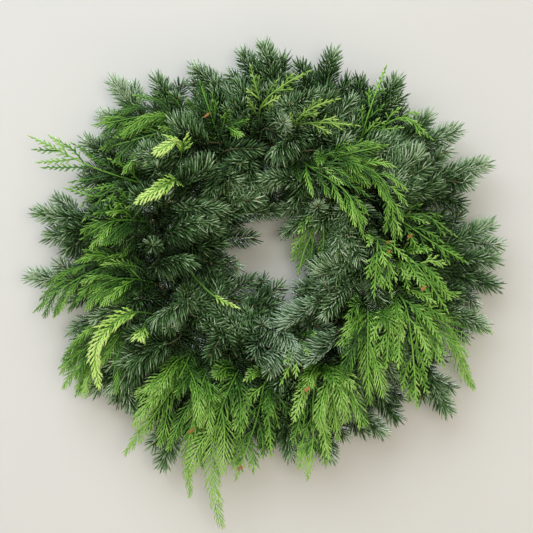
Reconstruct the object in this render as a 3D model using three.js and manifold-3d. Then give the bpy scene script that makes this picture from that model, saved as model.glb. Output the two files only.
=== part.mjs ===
// A fresh evergreen wreath, hung on a wall and seen from the front: fir branches and flat sprays of
// cedar, their stems bound round a crimped wire ring. Millimetres, +Z up, the front faces -Y.
// The origin is the hang point, the underside of the top of the ring.
import * as THREE from 'three';
import { mergeVertices } from 'three/addons/utils/BufferGeometryUtils.js';
import Module from 'manifold-3d';

const wasm = await Module();
wasm.setup();

// ---- driving dimensions ----
const RING_RADIUS = 152;        // a 12-inch ring, to the middle of its wire
const RING_WIRE = 4;            // thickness of the ring's wire
const RING_CRIMPS = 20;         // waves pressed into the ring, which keep the binding from sliding
const CRIMP_DEPTH = 1.2;
const SLOT_ANGLE = 6;           // degrees of the ring that each stem has to itself
const BINDING_WIRE = 0.9;
const BINDING_REACH = 11;       // from the middle of the bundle of stems to the binding wire
const BINDING_FORWARD = 3;      // the bundle's middle lies this far in front of the ring
const BINDING_SPAN = 358;       // degrees of the ring that the binding covers
const BINDING_STEPS = 7;        // straight pieces in one turn of it
const STEMS_PER_TURN = 3;
const STEM_RUN = 5.5;           // degrees of the ring along which a stem lies before it leaves
const FORK_ANGLE = 0.85;        // radians between a side strand and the first one where they part
const FORK_STEP = 9;            // length of that first straight piece
const TOUCH_GAP = 0.35;         // air kept between one spray and the next

const FIR_STEM_ROOT = 2.2;      // radius of a fir branch where it is bound in
const FIR_FORK_ROOT = 1.4;      // the same where a side twig springs from the first
const FIR_STEM_TIP = 0.9;
const FIR_SIDES = 3;
const NEEDLE_LENGTH = 21;
const NEEDLE_LEAN = 56;         // degrees between a needle and its twig
const TIP_LEAN = 30;            // the same at the twig's tip, where needles close round the bud
const TIP_RUN = 30;             // length of twig over which they close
const TIP_SHORTER = 0.22;       // share by which they are shorter there
const NEEDLE_STRAY = 0.16;      // radians by which one needle may differ from the next
const NEEDLE_ROOT = 2.4;        // length of the foot of a needle along its twig
const NEEDLE_REACH = 1;         // radius kept free round a needle
const WHORL_STEP = 24;          // from one whorl of needles to the next
const NEEDLE_SWING = 0.5;       // radians by which two needles side by side part
const WHORL_TURN = 0.8;         // radians from one whorl to the next
const FIR_BARE = 0.3;           // share of a branch that is bare, beside the ring
const TWIG_BARE = 7;            // bare foot of a side twig

const CEDAR_THICK = 1.2;        // a cedar spray is flat, its stem too
const CEDAR_STEM = 1.7;         // half the width of the stem where it is bound in
const CEDAR_FORK = 1.2;         // the same where a side strand springs from the first
const CEDAR_RIB = 0.85;         // the same along the leafy part
const CEDAR_STEM_STEP = 10;
const CEDAR_ROOM = 1.9;         // radius kept free round a stem or a rib
const CEDAR_BARE = 22;          // from the ring to the first leaflet, or further, past the last fork
const FORK_BARE = 4;
const CEDAR_SIDE_BARE = 9;      // the same on a side strand
const TIP_BEYOND = 6;
const LEAFLET_STEP = 14;        // from one pair of leaflets to the next
const LEAFLET_LENGTH = 34;
const LEAFLET_ROOM = 2.2;       // radius kept free round a leaflet
const LEAFLET_ANGLE = 42;       // degrees between a leaflet and the rib, at the leaf's foot
const LEAFLET_CLOSE = 14;       // degrees less at the leaf's tip
const LEAFLET_STRAY = 8;        // degrees by which one leaflet may differ from the next
const LEAF_FULL = 90;           // a shorter leaf than this has shorter leaflets
const CEDAR_ARCH = 0.004;       // how fast the leaf's sides bend back, per millimetre

// where a stem lies in the bundle: out from the ring and back from it
const SEATS = { outer: [6.8, -1], front: [3.8, -7.4], face: [-3.8, -7.4], inner: [-6.8, -1] };

const RANDOM_SEED = 2417;

// ---- layout ----
// Each spray: name, slot on the ring, seat in the bundle, then its strands. A strand starts at 0,
// the ring, or at that share of the first strand, and runs through points about the ring's middle.
const FIR = [
  ['fir_upper_left', 22, 'outer', [0, [-150, -18, 158], [-203, -34, 228]],
    [0.5, [-218, -24, 186]], [0.45, [-132, -24, 190], [-146, -32, 233]]],
  ['fir_left_high', 25, 'outer', [0, [-180, -18, 108], [-239, -34, 150]],
    [0.45, [-244, -26, 100]]],
  ['fir_left_middle', 29, 'outer', [0, [-215, -20, 40], [-303, -38, 56]],
    [0.5, [-291, -26, 25]], [0.4, [-265, -20, 6]]],
  ['fir_left_low', 32, 'outer', [0, [-230, -18, -38], [-312, -36, -29]],
    [0.4, [-228, -24, -85], [-255, -36, -130]]],
  ['fir_lower_left', 36, 'outer', [0, [-165, -18, -122], [-231, -34, -178]],
    [0.5, [-200, -26, -191]]],
  ['fir_bottom_left', 39, 'outer', [0, [-118, -20, -205], [-139, -36, -276]],
    [0.4, [-179, -28, -199]]],
  ['fir_bottom_middle_left', 42, 'outer', [0, [-66, -18, -200], [-88, -36, -264]],
    [0.5, [-49, -28, -268]]],
  ['fir_bottom_middle', 45, 'outer', [0, [20, -18, -200], [30, -34, -263]],
    [0.45, [-1, -28, -252]]],
  ['fir_bottom_middle_right', 48, 'outer', [0, [68, -18, -200], [81, -36, -268]],
    [0.4, [112, -24, -208], [150, -34, -234]]],
  ['fir_bottom_right', 51, 'outer', [0, [130, -20, -165], [169, -38, -214]],
    [0.45, [128, -32, -202]]],
  ['fir_lower_right', 52, 'outer', [0, [186, -22, -130], [237, -38, -204]],
    [0.5, [204, -28, -182]]],
  ['fir_right_low', 57, 'outer', [0, [215, -20, -66], [283, -40, -92]],
    [0.4, [252, -30, -46]]],
  ['fir_right_middle', 1, 'outer', [0, [210, -20, -2], [299, -38, -6]],
    [0.45, [302, -26, -40]], [0.5, [296, -28, 40]]],
  ['fir_right_high', 3, 'outer', [0, [206, -20, 94], [287, -38, 120]],
    [0.45, [257, -26, 68]]],
  ['fir_upper_right', 6, 'outer', [0, [178, -20, 134], [248, -36, 165]],
    [0.45, [212, -28, 184]]],
  ['fir_top_right', 9, 'outer', [0, [140, -20, 178], [170, -36, 231]],
    [0.4, [122, -28, 230]]],
  ['fir_top_middle_right', 12, 'outer', [0, [70, -20, 200], [86, -38, 266]],
    [0.45, [44, -26, 252]]],
  ['fir_top_middle', 15, 'outer', [0, [12, -20, 208], [-5, -38, 276]],
    [0.45, [-32, -28, 266]]],
  ['fir_top_left', 18, 'outer', [0, [-52, -20, 208], [-95, -36, 246]],
    [0.35, [-43, -44, 200]]],
  ['fir_inner_top_left', 20, 'inner', [0, [-52, -56, 138], [-13, -62, 139]],
    [0.35, [-88, -60, 122], [-108, -62, 112]]],
  ['fir_inner_top_right', 11, 'inner', [0, [62, -50, 138], [29, -56, 134]],
    [0.4, [100, -60, 130]]],
  ['fir_inner_top', 17, 'inner', [0, [-8, -48, 134], [23, -52, 113]],
    [0.35, [-5, -62, 166], [16, -70, 156]]],
  ['fir_inner_left_high', 26, 'inner', [0, [-78, -54, 62], [0, -58, 94]],
    [0.5, [13, -44, 58]]],
  ['fir_inner_left', 30, 'inner', [0, [-84, -46, 20], [-20, -40, 23]],
    [0.45, [-42, -50, -17]]],
  ['fir_inner_right_high', 5, 'inner', [0, [84, -48, 76], [20, -44, 60]],
    [0.4, [66, -62, 40]], [0.55, [24, -34, 30]]],
  ['fir_inner_right', 59, 'inner', [0, [118, -56, 34], [95, -62, 4]],
    [0.5, [107, -58, -56]]],
  ['fir_inner_lower_left', 35, 'inner', [0, [-92, -54, -84], [-58, -58, -88]],
    [0.4, [-108, -66, -48]], [0.6, [-22, -44, -34]]],
  ['fir_inner_bottom', 41, 'inner', [0, [-36, -52, -84], [16, -46, -42]],
    [0.5, [-75, -68, -130]]],
  ['fir_inner_lower_right', 55, 'inner', [0, [96, -50, -48], [42, -46, -43]],
    [0.5, [76, -78, -42]], [0.3, [32, -56, -82]]],
  ['fir_front_bottom', 44, 'inner', [0, [24, -44, -106], [3, -78, -150]],
    [0.5, [60, -74, -112]]],
];

const CEDAR = [
  ['cedar_upper_left', 21, 'front', [0, [-122, -44, 182], [-229, -48, 172]], [0.35, [-218, -58, 139]]],
  ['cedar_left_high', 24, 'front', [0, [-218, -46, 111], [-313, -46, 156]],
    [0.4, [-222, -42, 78], [-267, -40, 88]]],
  ['cedar_left_middle', 27, 'front', [0, [-205, -58, 44], [-243, -56, 22]], [0.3, [-192, -66, 84]]],
  ['cedar_left_low', 31, 'front', [0, [-204, -48, -12], [-270, -50, -43], [-308, -44, -74]],
    [0.3, [-239, -58, 6]]],
  ['cedar_left_olive', 33, 'face', [0, [-198, -62, -32], [-247, -62, -57]], [0.4, [-200, -74, -60]]],
  ['cedar_lower_left', 34, 'front', [0, [-205, -46, -98], [-274, -46, -148]],
    [0.5, [-238, -46, -140], [-254, -42, -185]]],
  ['cedar_bottom_left_outer', 38, 'front', [0, [-114, -56, -156], [-153, -60, -215], [-187, -54, -260]],
    [0.3, [-130, -70, -160], [-169, -72, -183]]],
  ['cedar_bottom_left', 40, 'front', [0, [-86, -56, -168], [-105, -58, -254], [-103, -50, -316]],
    [0.3, [-72, -76, -186]]],
  ['cedar_longest', 43, 'front', [0, [-44, -60, -162], [-62, -66, -204], [-72, -66, -254],
    [-73, -60, -293], [-61, -48, -358]]],
  ['cedar_bottom', 46, 'front', [0, [-4, -56, -168], [-13, -58, -208], [-25, -56, -247], [-42, -50, -294]],
    [0.35, [14, -50, -225]]],
  ['cedar_bottom_drop', 47, 'face', [0, [42, -62, -112], [38, -84, -124], [17, -86, -165]]],
  ['cedar_bottom_right', 49, 'front', [0, [64, -58, -154], [59, -62, -189], [59, -60, -241], [52, -52, -294]]],
  ['cedar_bottom_right_fall', 50, 'front', [0, [82, -70, -160], [91, -68, -238]],
    [0.3, [101, -78, -163], [100, -78, -215]]],
  ['cedar_lower_right_fall', 56, 'face', [0, [130, -74, -84], [129, -78, -137], [133, -68, -192]],
    [0.3, [112, -86, -104]]],
  ['cedar_lower_right', 58, 'front', [0, [178, -66, -62], [187, -68, -111], [195, -58, -198]],
    [0.3, [158, -78, -95], [153, -80, -144]], [0.4, [207, -64, -104], [231, -56, -146]]],
  ['cedar_right_back', 54, 'front', [0, [198, -42, -78], [243, -44, -98], [256, -40, -137], [274, -32, -177]]],
  ['cedar_right', 0, 'front', [0, [182, -62, -2], [205, -68, -28], [234, -64, -73]],
    [0.35, [182, -76, -42]], [0.55, [230, -74, -42]]],
  ['cedar_right_drop', 2, 'face', [0, [142, -78, 14], [137, -84, -52]], [0.4, [160, -80, -52]]],
  ['cedar_right_high', 4, 'front', [0, [180, -50, 42], [211, -54, 20], [261, -48, -9]],
    [0.35, [205, -42, 54], [248, -40, 26]]],
  ['cedar_upper_right_fall', 14, 'face', [0, [58, -70, 114], [107, -84, 65], [125, -80, 22]],
    [0.5, [152, -86, 80], [164, -78, 16]]],
  ['cedar_upper_right', 10, 'front', [0, [88, -72, 128], [152, -76, 142]], [0.4, [143, -82, 100]]],
  ['cedar_top_right_yellow', 13, 'front', [0, [40, -54, 180], [65, -58, 196], [91, -58, 204]],
    [0.4, [80, -52, 174], [117, -54, 170]]],
  ['cedar_top_yellow', 16, 'front', [0, [-8, -50, 198], [22, -56, 224], [53, -54, 241]],
    [0.5, [-23, -48, 248]]],
  ['cedar_top_left', 19, 'front', [0, [-74, -46, 180], [-90, -44, 228]], [0.35, [-28, -64, 176]]],
  ['cedar_top_right', 7, 'front', [0, [136, -46, 196], [156, -42, 248]],
    [0.4, [180, -46, 182], [216, -42, 155]]],
  ['cedar_in_the_hole', 8, 'inner', [0, [72, -38, 52], [50, -30, 10], [41, -24, -24]]],
  ['lime_upper_left', 23, 'face', [0, [-124, -88, 94], [-169, -92, 68]], [0.3, [-146, -92, 130]]],
  ['lime_lower_left', 37, 'face', [0, [-180, -78, -76], [-222, -78, -117], [-221, -68, -172]],
    [0.35, [-166, -88, -108]]],
];

// ---- colours ----
const FIR_COLOUR = 0x34472a;
const CEDAR_COLOUR = 0x4a662b;
const LIME_COLOUR = 0xa0c85a;
const RING_COLOUR = 0x3d4a3a;
const BINDING_COLOUR = 0x2f4a34;

// ---- plain tools ----
const FRONT = new THREE.Vector3(0.1, -1, 0.2).normalize();

function seededDraw(seed) {
  let state = seed;
  return () => {
    state = (state * 1664525 + 1013904223) % 4294967296;
    return state / 4294967296;
  };
}

function shareOf(value, low, high) {
  return Math.min(1, Math.max(0, (value - low) / (high - low)));
}

function solidOf(geometry) {
  const bare = geometry.clone();
  bare.deleteAttribute('normal');
  bare.deleteAttribute('uv');
  const merged = mergeVertices(bare, 1e-4);
  return new wasm.Manifold(new wasm.Mesh({
    numProp: 3,
    vertProperties: Float32Array.from(merged.attributes.position.array),
    triVerts: Uint32Array.from(merged.index.array),
  }));
}

function geometryOf(solid) {
  const mesh = solid.getMesh();
  const geometry = new THREE.BufferGeometry();
  geometry.setAttribute('position', new THREE.BufferAttribute(mesh.vertProperties, 3));
  geometry.setIndex(new THREE.BufferAttribute(mesh.triVerts, 1));
  geometry.computeVertexNormals();
  return geometry;
}

function ringPoint(degrees, outward, back) {
  const angle = THREE.MathUtils.degToRad(degrees);
  const reach = RING_RADIUS + outward;
  return new THREE.Vector3(reach * Math.cos(angle), back, reach * Math.sin(angle));
}

// ---- room: what is already taken, as rods with a radius ----
const taken = [];

function rodOf(owner, start, end, radius) {
  const middle = new THREE.Vector3().addVectors(start, end).multiplyScalar(0.5);
  return { owner, start, middle, way: new THREE.Vector3().subVectors(end, start), radius };
}

function take(owner, start, end, radius) {
  taken.push(rodOf(owner, start, end, radius));
}

// The least distance between the middle lines of two rods.
function rodGap(first, second) {
  const between = new THREE.Vector3().subVectors(first.start, second.start);
  const a = first.way.lengthSq();
  const b = first.way.dot(second.way);
  const c = second.way.lengthSq();
  const d = first.way.dot(between);
  const e = second.way.dot(between);
  const square = a * c - b * b;
  const alongFirst = square > 1e-9 ? shareOf(b * e - c * d, 0, square) : 0;
  const alongSecond = shareOf(b * alongFirst + e, 0, c);
  const mended = shareOf(b * alongSecond - d, 0, a);
  between.addScaledVector(first.way, mended).addScaledVector(second.way, -alongSecond);
  return between.length();
}

function isClear(owner, start, end, radius) {
  const rod = rodOf(owner, start, end, radius);
  const half = rod.way.length() / 2;
  return taken.every((other) => {
    const room = other.radius + radius + TOUCH_GAP;
    return other.owner === owner
      || other.middle.distanceTo(rod.middle) > room + half + other.way.length() / 2
      || rodGap(rod, other) > room;
  });
}

// ---- strands: the line that a stem or a rib follows ----
// A first strand lies along the ring for a little, inside the binding, before it leaves.
function bundledRoots(slot, seat, next) {
  const degrees = slot * SLOT_ANGLE;
  const home = ringPoint(degrees, ...SEATS[seat]);
  const turn = Math.sign(home.x * next.z - home.z * next.x) || 1;
  return [ringPoint(degrees - turn * STEM_RUN, ...SEATS[seat]), home];
}

// A side strand leaves the first one at the fork angle, to the side that its way lies.
function forkRoots(first, from, next) {
  const frame = frameAt(first, from * first.length);
  const turn = Math.sign(frame.side.dot(next.clone().sub(frame.middle))) || 1;
  const knee = frame.middle.clone();
  knee.addScaledVector(frame.forward, FORK_STEP * Math.cos(FORK_ANGLE));
  knee.addScaledVector(frame.side, turn * FORK_STEP * Math.sin(FORK_ANGLE));
  return [frame.middle, knee];
}

function planStrand(spray, index, first) {
  const [name, slot, seat] = spray;
  const [from, ...rest] = spray[3 + index];
  const points = rest.map((point) => new THREE.Vector3(...point));
  const roots = index === 0 ? bundledRoots(slot, seat, points[0]) : forkRoots(first, from, points[0]);
  const curve = new THREE.CatmullRomCurve3([...roots, ...points], false, 'centripetal');
  const length = curve.getLength();
  return { owner: `${name} ${index}`, curve, length, index, from };
}

function planSpray(spray) {
  const first = planStrand(spray, 0, null);
  const strands = [first];
  for (let index = 1; index < spray.length - 3; index += 1) {
    strands.push(planStrand(spray, index, first));
  }
  return { name: spray[0], strands };
}

// The frame of a strand: along it, out to the front of the wreath, and to its side.
function frameAt(strand, along) {
  const share = shareOf(along, 0, strand.length);
  const middle = strand.curve.getPointAt(share);
  const forward = strand.curve.getTangentAt(share);
  const out = FRONT.clone().addScaledVector(forward, -FRONT.dot(forward)).normalize();
  const side = new THREE.Vector3().crossVectors(out, forward);
  return { middle, forward, out, side };
}

function takeStrand(strand, radius) {
  const pieces = Math.ceil(strand.length / 10);
  let start = strand.curve.getPointAt(0);
  for (let piece = 1; piece <= pieces; piece += 1) {
    const end = strand.curve.getPointAt(piece / pieces);
    take(strand.owner, start, end, radius);
    start = end;
  }
}

// A tapered stem through the given stations: a cylinder whose rings are laid along the strand.
// Each vertex keeps its row and the way it faces, out to the front and to the side.
function bendCylinder(strand, stations, reachAt, turnAt, sides) {
  const rows = stations.length - 1;
  const cylinder = new THREE.CylinderGeometry(1, 1, 1, sides, rows);
  cylinder.deleteAttribute('normal');
  cylinder.deleteAttribute('uv');
  const geometry = mergeVertices(cylinder, 1e-4);
  const position = geometry.attributes.position;
  const corners = [];
  for (let vertex = 0; vertex < position.count; vertex += 1) {
    const row = Math.round((position.getY(vertex) + 0.5) * rows);
    const across = Math.hypot(position.getX(vertex), position.getZ(vertex));
    const angle = Math.atan2(position.getZ(vertex), position.getX(vertex)) + turnAt(row);
    const reach = reachAt(stations[row]);
    const out = across * Math.cos(angle);
    const side = across * Math.sin(angle);
    const frame = frameAt(strand, stations[row]);
    frame.middle.addScaledVector(frame.out, reach.out * out);
    frame.middle.addScaledVector(frame.side, reach.side * side);
    position.setXYZ(vertex, frame.middle.x, frame.middle.y, frame.middle.z);
    corners.push({ row, out, side, place: frame.middle });
  }
  return { geometry, corners };
}

// Joins each edge of a list to its own peak, and gives the faces that are left as they are.
function raisedGeometry(bent, faces, peaks) {
  const points = [...bent.geometry.attributes.position.array];
  const index = [...faces];
  for (const { tip, edges } of peaks) {
    const peak = points.length / 3;
    points.push(tip.x, tip.y, tip.z);
    edges.forEach(([from, to]) => index.push(from, to, peak));
  }
  const raised = new THREE.BufferGeometry();
  raised.setAttribute('position', new THREE.Float32BufferAttribute(points, 3));
  raised.setIndex(index);
  return raised;
}

function trianglesOf(geometry) {
  const index = geometry.index.array;
  const triangles = [];
  for (let start = 0; start < index.length; start += 3) {
    triangles.push([index[start], index[start + 1], index[start + 2]]);
  }
  return triangles;
}

function edgesOf([first, second, third]) {
  return [[first, second], [second, third], [third, first]];
}

// ---- fir ----
const LEAN_TRIES = [0, -0.22, 0.2, -0.38];
const SWING_TRIES = [0, 0.4, -0.4, 0.75, -0.75];
const LENGTH_TRIES = [1, 0.82];

// The tip of a needle that springs from a facet of the twig: the first lean, swing and length in
// which it stands clear of everything else, or null where there is no room for it.
function needleTip(strand, corners, along, draw) {
  const frame = frameAt(strand, along);
  const foot = new THREE.Vector3().add(corners[0]).add(corners[1]).add(corners[2]).divideScalar(3);
  const outward = foot.clone().sub(frame.middle);
  outward.addScaledVector(frame.forward, -outward.dot(frame.forward)).normalize();
  const facing = new THREE.Triangle(...corners).getNormal(new THREE.Vector3());
  const turned = Math.sign(facing.clone().cross(outward).dot(frame.forward)) * NEEDLE_SWING;
  const tipward = shareOf(along, strand.length - TIP_RUN, strand.length);
  const closing = NEEDLE_LEAN + (TIP_LEAN - NEEDLE_LEAN) * tipward;
  const lean = THREE.MathUtils.degToRad(closing) + NEEDLE_STRAY * (draw() - 0.5);
  const length = NEEDLE_LENGTH * (1 - TIP_SHORTER * tipward) * (0.9 + 0.2 * draw());
  for (const scale of LENGTH_TRIES) {
    for (const swing of SWING_TRIES) {
      for (const extra of LEAN_TRIES) {
        const direction = outward.clone().applyAxisAngle(frame.forward, turned + swing);
        direction.multiplyScalar(Math.sin(lean + extra));
        direction.addScaledVector(frame.forward, Math.cos(lean + extra));
        const tip = foot.clone().addScaledVector(direction, length * scale);
        const stands = direction.dot(facing) > 0.25;
        if (stands && isClear(strand.owner, foot, tip, NEEDLE_REACH)) {
          take(strand.owner, foot, tip, NEEDLE_REACH);
          return tip;
        }
      }
    }
  }
  return null;
}

function firStations(strand) {
  const bare = strand.index === 0 ? FIR_BARE * strand.length : TWIG_BARE;
  const bareSteps = strand.index === 0 ? 3 : 1;
  const stations = [];
  for (let step = 0; step < bareSteps; step += 1) {
    stations.push((bare * step) / bareSteps);
  }
  const whorls = Math.max(2, Math.round((strand.length - bare) / WHORL_STEP));
  const step = (strand.length - bare - NEEDLE_ROOT) / whorls;
  const firstWhorlRow = stations.length;
  for (let whorl = 0; whorl < whorls; whorl += 1) {
    stations.push(bare + step * whorl, bare + step * whorl + NEEDLE_ROOT);
  }
  stations.push(strand.length - NEEDLE_ROOT, strand.length);
  return { stations, firstWhorlRow };
}

// A twig with needles raised from it: every second band of the twig is a short one, and each of
// that band's facets rises to a point.
function firTwig(strand, draw) {
  const rootRadius = strand.index === 0 ? FIR_STEM_ROOT : FIR_FORK_ROOT;
  const { stations, firstWhorlRow } = firStations(strand);
  const reachAt = (along) => {
    const radius = rootRadius + (FIR_STEM_TIP - rootRadius) * (along / strand.length);
    return { out: radius, side: radius };
  };
  const turnAt = (row) => Math.floor((row - firstWhorlRow) / 2) * WHORL_TURN;
  const bent = bendCylinder(strand, stations, reachAt, turnAt, FIR_SIDES);
  const faces = [];
  const peaks = [];
  for (const triangle of trianglesOf(bent.geometry)) {
    const corners = triangle.map((vertex) => bent.corners[vertex]);
    const rows = corners.map((corner) => corner.row);
    const low = Math.min(...rows);
    const isFoot = low >= firstWhorlRow && (low - firstWhorlRow) % 2 === 0 && Math.max(...rows) > low;
    const places = corners.map((corner) => corner.place);
    const tip = isFoot ? needleTip(strand, places, stations[low] + NEEDLE_ROOT / 2, draw) : null;
    if (tip === null) {
      faces.push(...triangle);
    } else {
      peaks.push({ tip, edges: edgesOf(triangle) });
    }
  }
  return raisedGeometry(bent, faces, peaks);
}

// ---- cedar ----
// A place on the flat leaf, along the rib and across it, laid on the strand and arched back.
function leafPlace(strand, along, across) {
  const frame = frameAt(strand, along);
  frame.middle.addScaledVector(frame.forward, Math.max(0, along - strand.length));
  frame.middle.addScaledVector(frame.side, across);
  return frame.middle.addScaledVector(frame.out, -CEDAR_ARCH * across * across);
}

// The tip of a leaflet: the longest reach in which it stands clear of everything else, or null
// where there is no room for it. Leaflets are longest a third of the way along the leaf.
function leafletTip(strand, bare, along, side, draw) {
  const share = shareOf(along, bare, strand.length);
  const swell = Math.sin(Math.PI * Math.min(1, 0.22 + 0.8 * share)) ** 0.8;
  const longest = LEAFLET_LENGTH * (0.5 + 0.5 * shareOf(strand.length - bare, 0, LEAF_FULL));
  const length = longest * (0.25 + 0.75 * swell) * (0.86 + 0.28 * draw());
  const stray = LEAFLET_STRAY * (draw() - 0.5);
  const angle = THREE.MathUtils.degToRad(LEAFLET_ANGLE - LEAFLET_CLOSE * share + stray);
  const foot = leafPlace(strand, along, side * CEDAR_RIB);
  for (const scale of [1, 0.8, 0.6, 0.4]) {
    const reach = length * scale;
    const across = side * (CEDAR_RIB + reach * Math.sin(angle));
    const tip = leafPlace(strand, along + reach * Math.cos(angle), across);
    if (isClear(strand.owner, foot, tip, LEAFLET_ROOM)) {
      take(strand.owner, foot, tip, LEAFLET_ROOM);
      return tip;
    }
  }
  return null;
}

// A flat strand with leaflets raised from both edges of its rib, one from each stretch between two
// stations, and a last one at its tip.
function cedarStrand(strand, bare, draw) {
  const root = strand.index === 0 ? CEDAR_STEM : CEDAR_FORK;
  const stemSteps = Math.ceil(bare / CEDAR_STEM_STEP);
  const leafSteps = Math.max(4, Math.round((strand.length - bare) / LEAFLET_STEP));
  const stations = [];
  for (let step = 0; step < stemSteps; step += 1) {
    stations.push((bare * step) / stemSteps);
  }
  for (let step = 0; step <= leafSteps; step += 1) {
    stations.push(bare + ((strand.length - bare) * step) / leafSteps);
  }
  const reachAt = (along) => {
    const width = root + (CEDAR_RIB - root) * shareOf(along, 0, bare);
    return { out: (Math.SQRT2 * CEDAR_THICK) / 2, side: Math.SQRT2 * width };
  };
  const bent = bendCylinder(strand, stations, reachAt, () => Math.PI / 4, 4);
  const faces = [];
  const leaflets = new Map();
  for (const triangle of trianglesOf(bent.geometry)) {
    const corners = triangle.map((vertex) => bent.corners[vertex]);
    const low = Math.min(...corners.map((corner) => corner.row));
    const side = Math.sign(corners[0].side);
    const isEdge = corners.every((corner) => corner.side * side > 0.1) && low >= stemSteps;
    const isTip = corners.every((corner) => corner.row === stemSteps + leafSteps);
    const key = isTip ? 'tip' : `${low} ${side}`;
    if (!isEdge && !isTip) {
      faces.push(...triangle);
      continue;
    }
    if (!leaflets.has(key)) {
      const along = (stations[low] + stations[low + 1]) / 2;
      const tip = isTip
        ? leafPlace(strand, strand.length + TIP_BEYOND, 0)
        : leafletTip(strand, bare, along, side, draw);
      leaflets.set(key, { tip, edges: [] });
    }
    const leaflet = leaflets.get(key);
    if (leaflet.tip === null) {
      faces.push(...triangle);
    } else {
      leaflet.edges.push(...edgesOf(triangle).filter(([from, to]) => isRim(bent, from, to, isTip)));
    }
  }
  return raisedGeometry(bent, faces, [...leaflets.values()].filter((leaflet) => leaflet.tip !== null));
}

// Whether an edge lies on the rim of a leaflet's foot, and isn't the line across the middle of it.
function isRim(bent, from, to, isTip) {
  const [start, end] = [bent.corners[from], bent.corners[to]];
  if (isTip) {
    return Math.abs(start.out) > 0.1 && Math.abs(end.out) > 0.1;
  }
  return start.row === end.row || start.out * end.out > 0;
}

// ---- ring and binding ----
// The ring: a torus pressed into shallow waves.
function ringFrame() {
  const torus = new THREE.TorusGeometry(RING_RADIUS, RING_WIRE / 2, 5, RING_CRIMPS * 3);
  const position = torus.attributes.position;
  for (let vertex = 0; vertex < position.count; vertex += 1) {
    const angle = Math.atan2(position.getY(vertex), position.getX(vertex));
    const reach = Math.hypot(position.getX(vertex), position.getY(vertex));
    const waved = reach + CRIMP_DEPTH * Math.sin(RING_CRIMPS * angle);
    position.setXY(vertex, waved * Math.cos(angle), waved * Math.sin(angle));
  }
  return torus.rotateX(Math.PI / 2);
}

// The binding wire: a coil round the bundle, with its turns between the places where stems leave.
class BindingCurve extends THREE.Curve {
  getPoint(share, target = new THREE.Vector3()) {
    const turn = STEMS_PER_TURN * SLOT_ANGLE;
    const degrees = BINDING_SPAN * share;
    const phase = (2 * Math.PI * degrees) / turn + Math.PI / 2;
    const back = BINDING_REACH * Math.sin(phase) - BINDING_FORWARD;
    return target.copy(ringPoint(degrees, BINDING_REACH * Math.cos(phase), back));
  }
}

function bindingWire() {
  const corners = [0, 1, 2].map((corner) => new THREE.Vector2(BINDING_WIRE / 2, 0)
    .rotateAround(new THREE.Vector2(), (corner * 2 * Math.PI) / 3));
  const curve = new BindingCurve();
  const steps = (BINDING_STEPS * 360) / (STEMS_PER_TURN * SLOT_ANGLE);
  for (let step = 0; step < steps; step += 1) {
    take('binding', curve.getPoint(step / steps), curve.getPoint((step + 1) / steps), BINDING_WIRE / 2);
  }
  return new THREE.ExtrudeGeometry(new THREE.Shape(corners), {
    steps,
    extrudePath: curve,
    bevelEnabled: false,
  });
}

// ---- assembly ----
const wreath = new THREE.Group();
wreath.position.z = RING_WIRE / 2 - RING_RADIUS;

function addPiece(name, geometry, colour, roughness, metalness = 0) {
  const material = new THREE.MeshStandardMaterial({ color: colour, roughness, metalness });
  const piece = new THREE.Mesh(geometry, material);
  piece.name = name;
  wreath.add(piece);
}

function fuse(geometries) {
  return geometryOf(geometries.map(solidOf).reduce((whole, next) => whole.add(next)));
}

function firBranch(spray, draw) {
  return fuse(spray.strands.map((strand) => firTwig(strand, draw)));
}

function cedarSpray(spray, draw) {
  const [first, ...sides] = spray.strands;
  const lastFork = Math.max(0, ...sides.map((strand) => strand.from)) * first.length;
  const firstBare = Math.max(CEDAR_BARE, lastFork + FORK_BARE);
  return fuse(spray.strands.map((strand) => {
    const bare = strand.index === 0 ? firstBare : CEDAR_SIDE_BARE;
    return cedarStrand(strand, bare, draw);
  }));
}

addPiece('ring_frame', ringFrame(), RING_COLOUR, 0.5, 0.7);
addPiece('binding_wire', bindingWire(), BINDING_COLOUR, 0.5, 0.6);

const draw = seededDraw(RANDOM_SEED);
const firSprays = FIR.map(planSpray);
const cedarSprays = CEDAR.map(planSpray);
firSprays.flatMap((spray) => spray.strands).forEach((strand) => takeStrand(strand, FIR_STEM_ROOT));
cedarSprays.flatMap((spray) => spray.strands).forEach((strand) => takeStrand(strand, CEDAR_ROOM));
for (const spray of cedarSprays) {
  const colour = spray.name.startsWith('lime') ? LIME_COLOUR : CEDAR_COLOUR;
  addPiece(spray.name, cedarSpray(spray, draw), colour, 0.6);
}
for (const spray of firSprays) {
  addPiece(spray.name, firBranch(spray, draw), FIR_COLOUR, 0.6);
}

export default wreath;
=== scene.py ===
"""A fresh evergreen wreath on a pale wall: noble fir, drooping cedar sprays and their wire ring.

Shapes are worked out in millimetres about the ring's middle, and each mesh is put in metres in the
frame's own axes: +Z up, the front faces -Y, and the origin is the hang point at the top of the ring.
"""

import math

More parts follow.
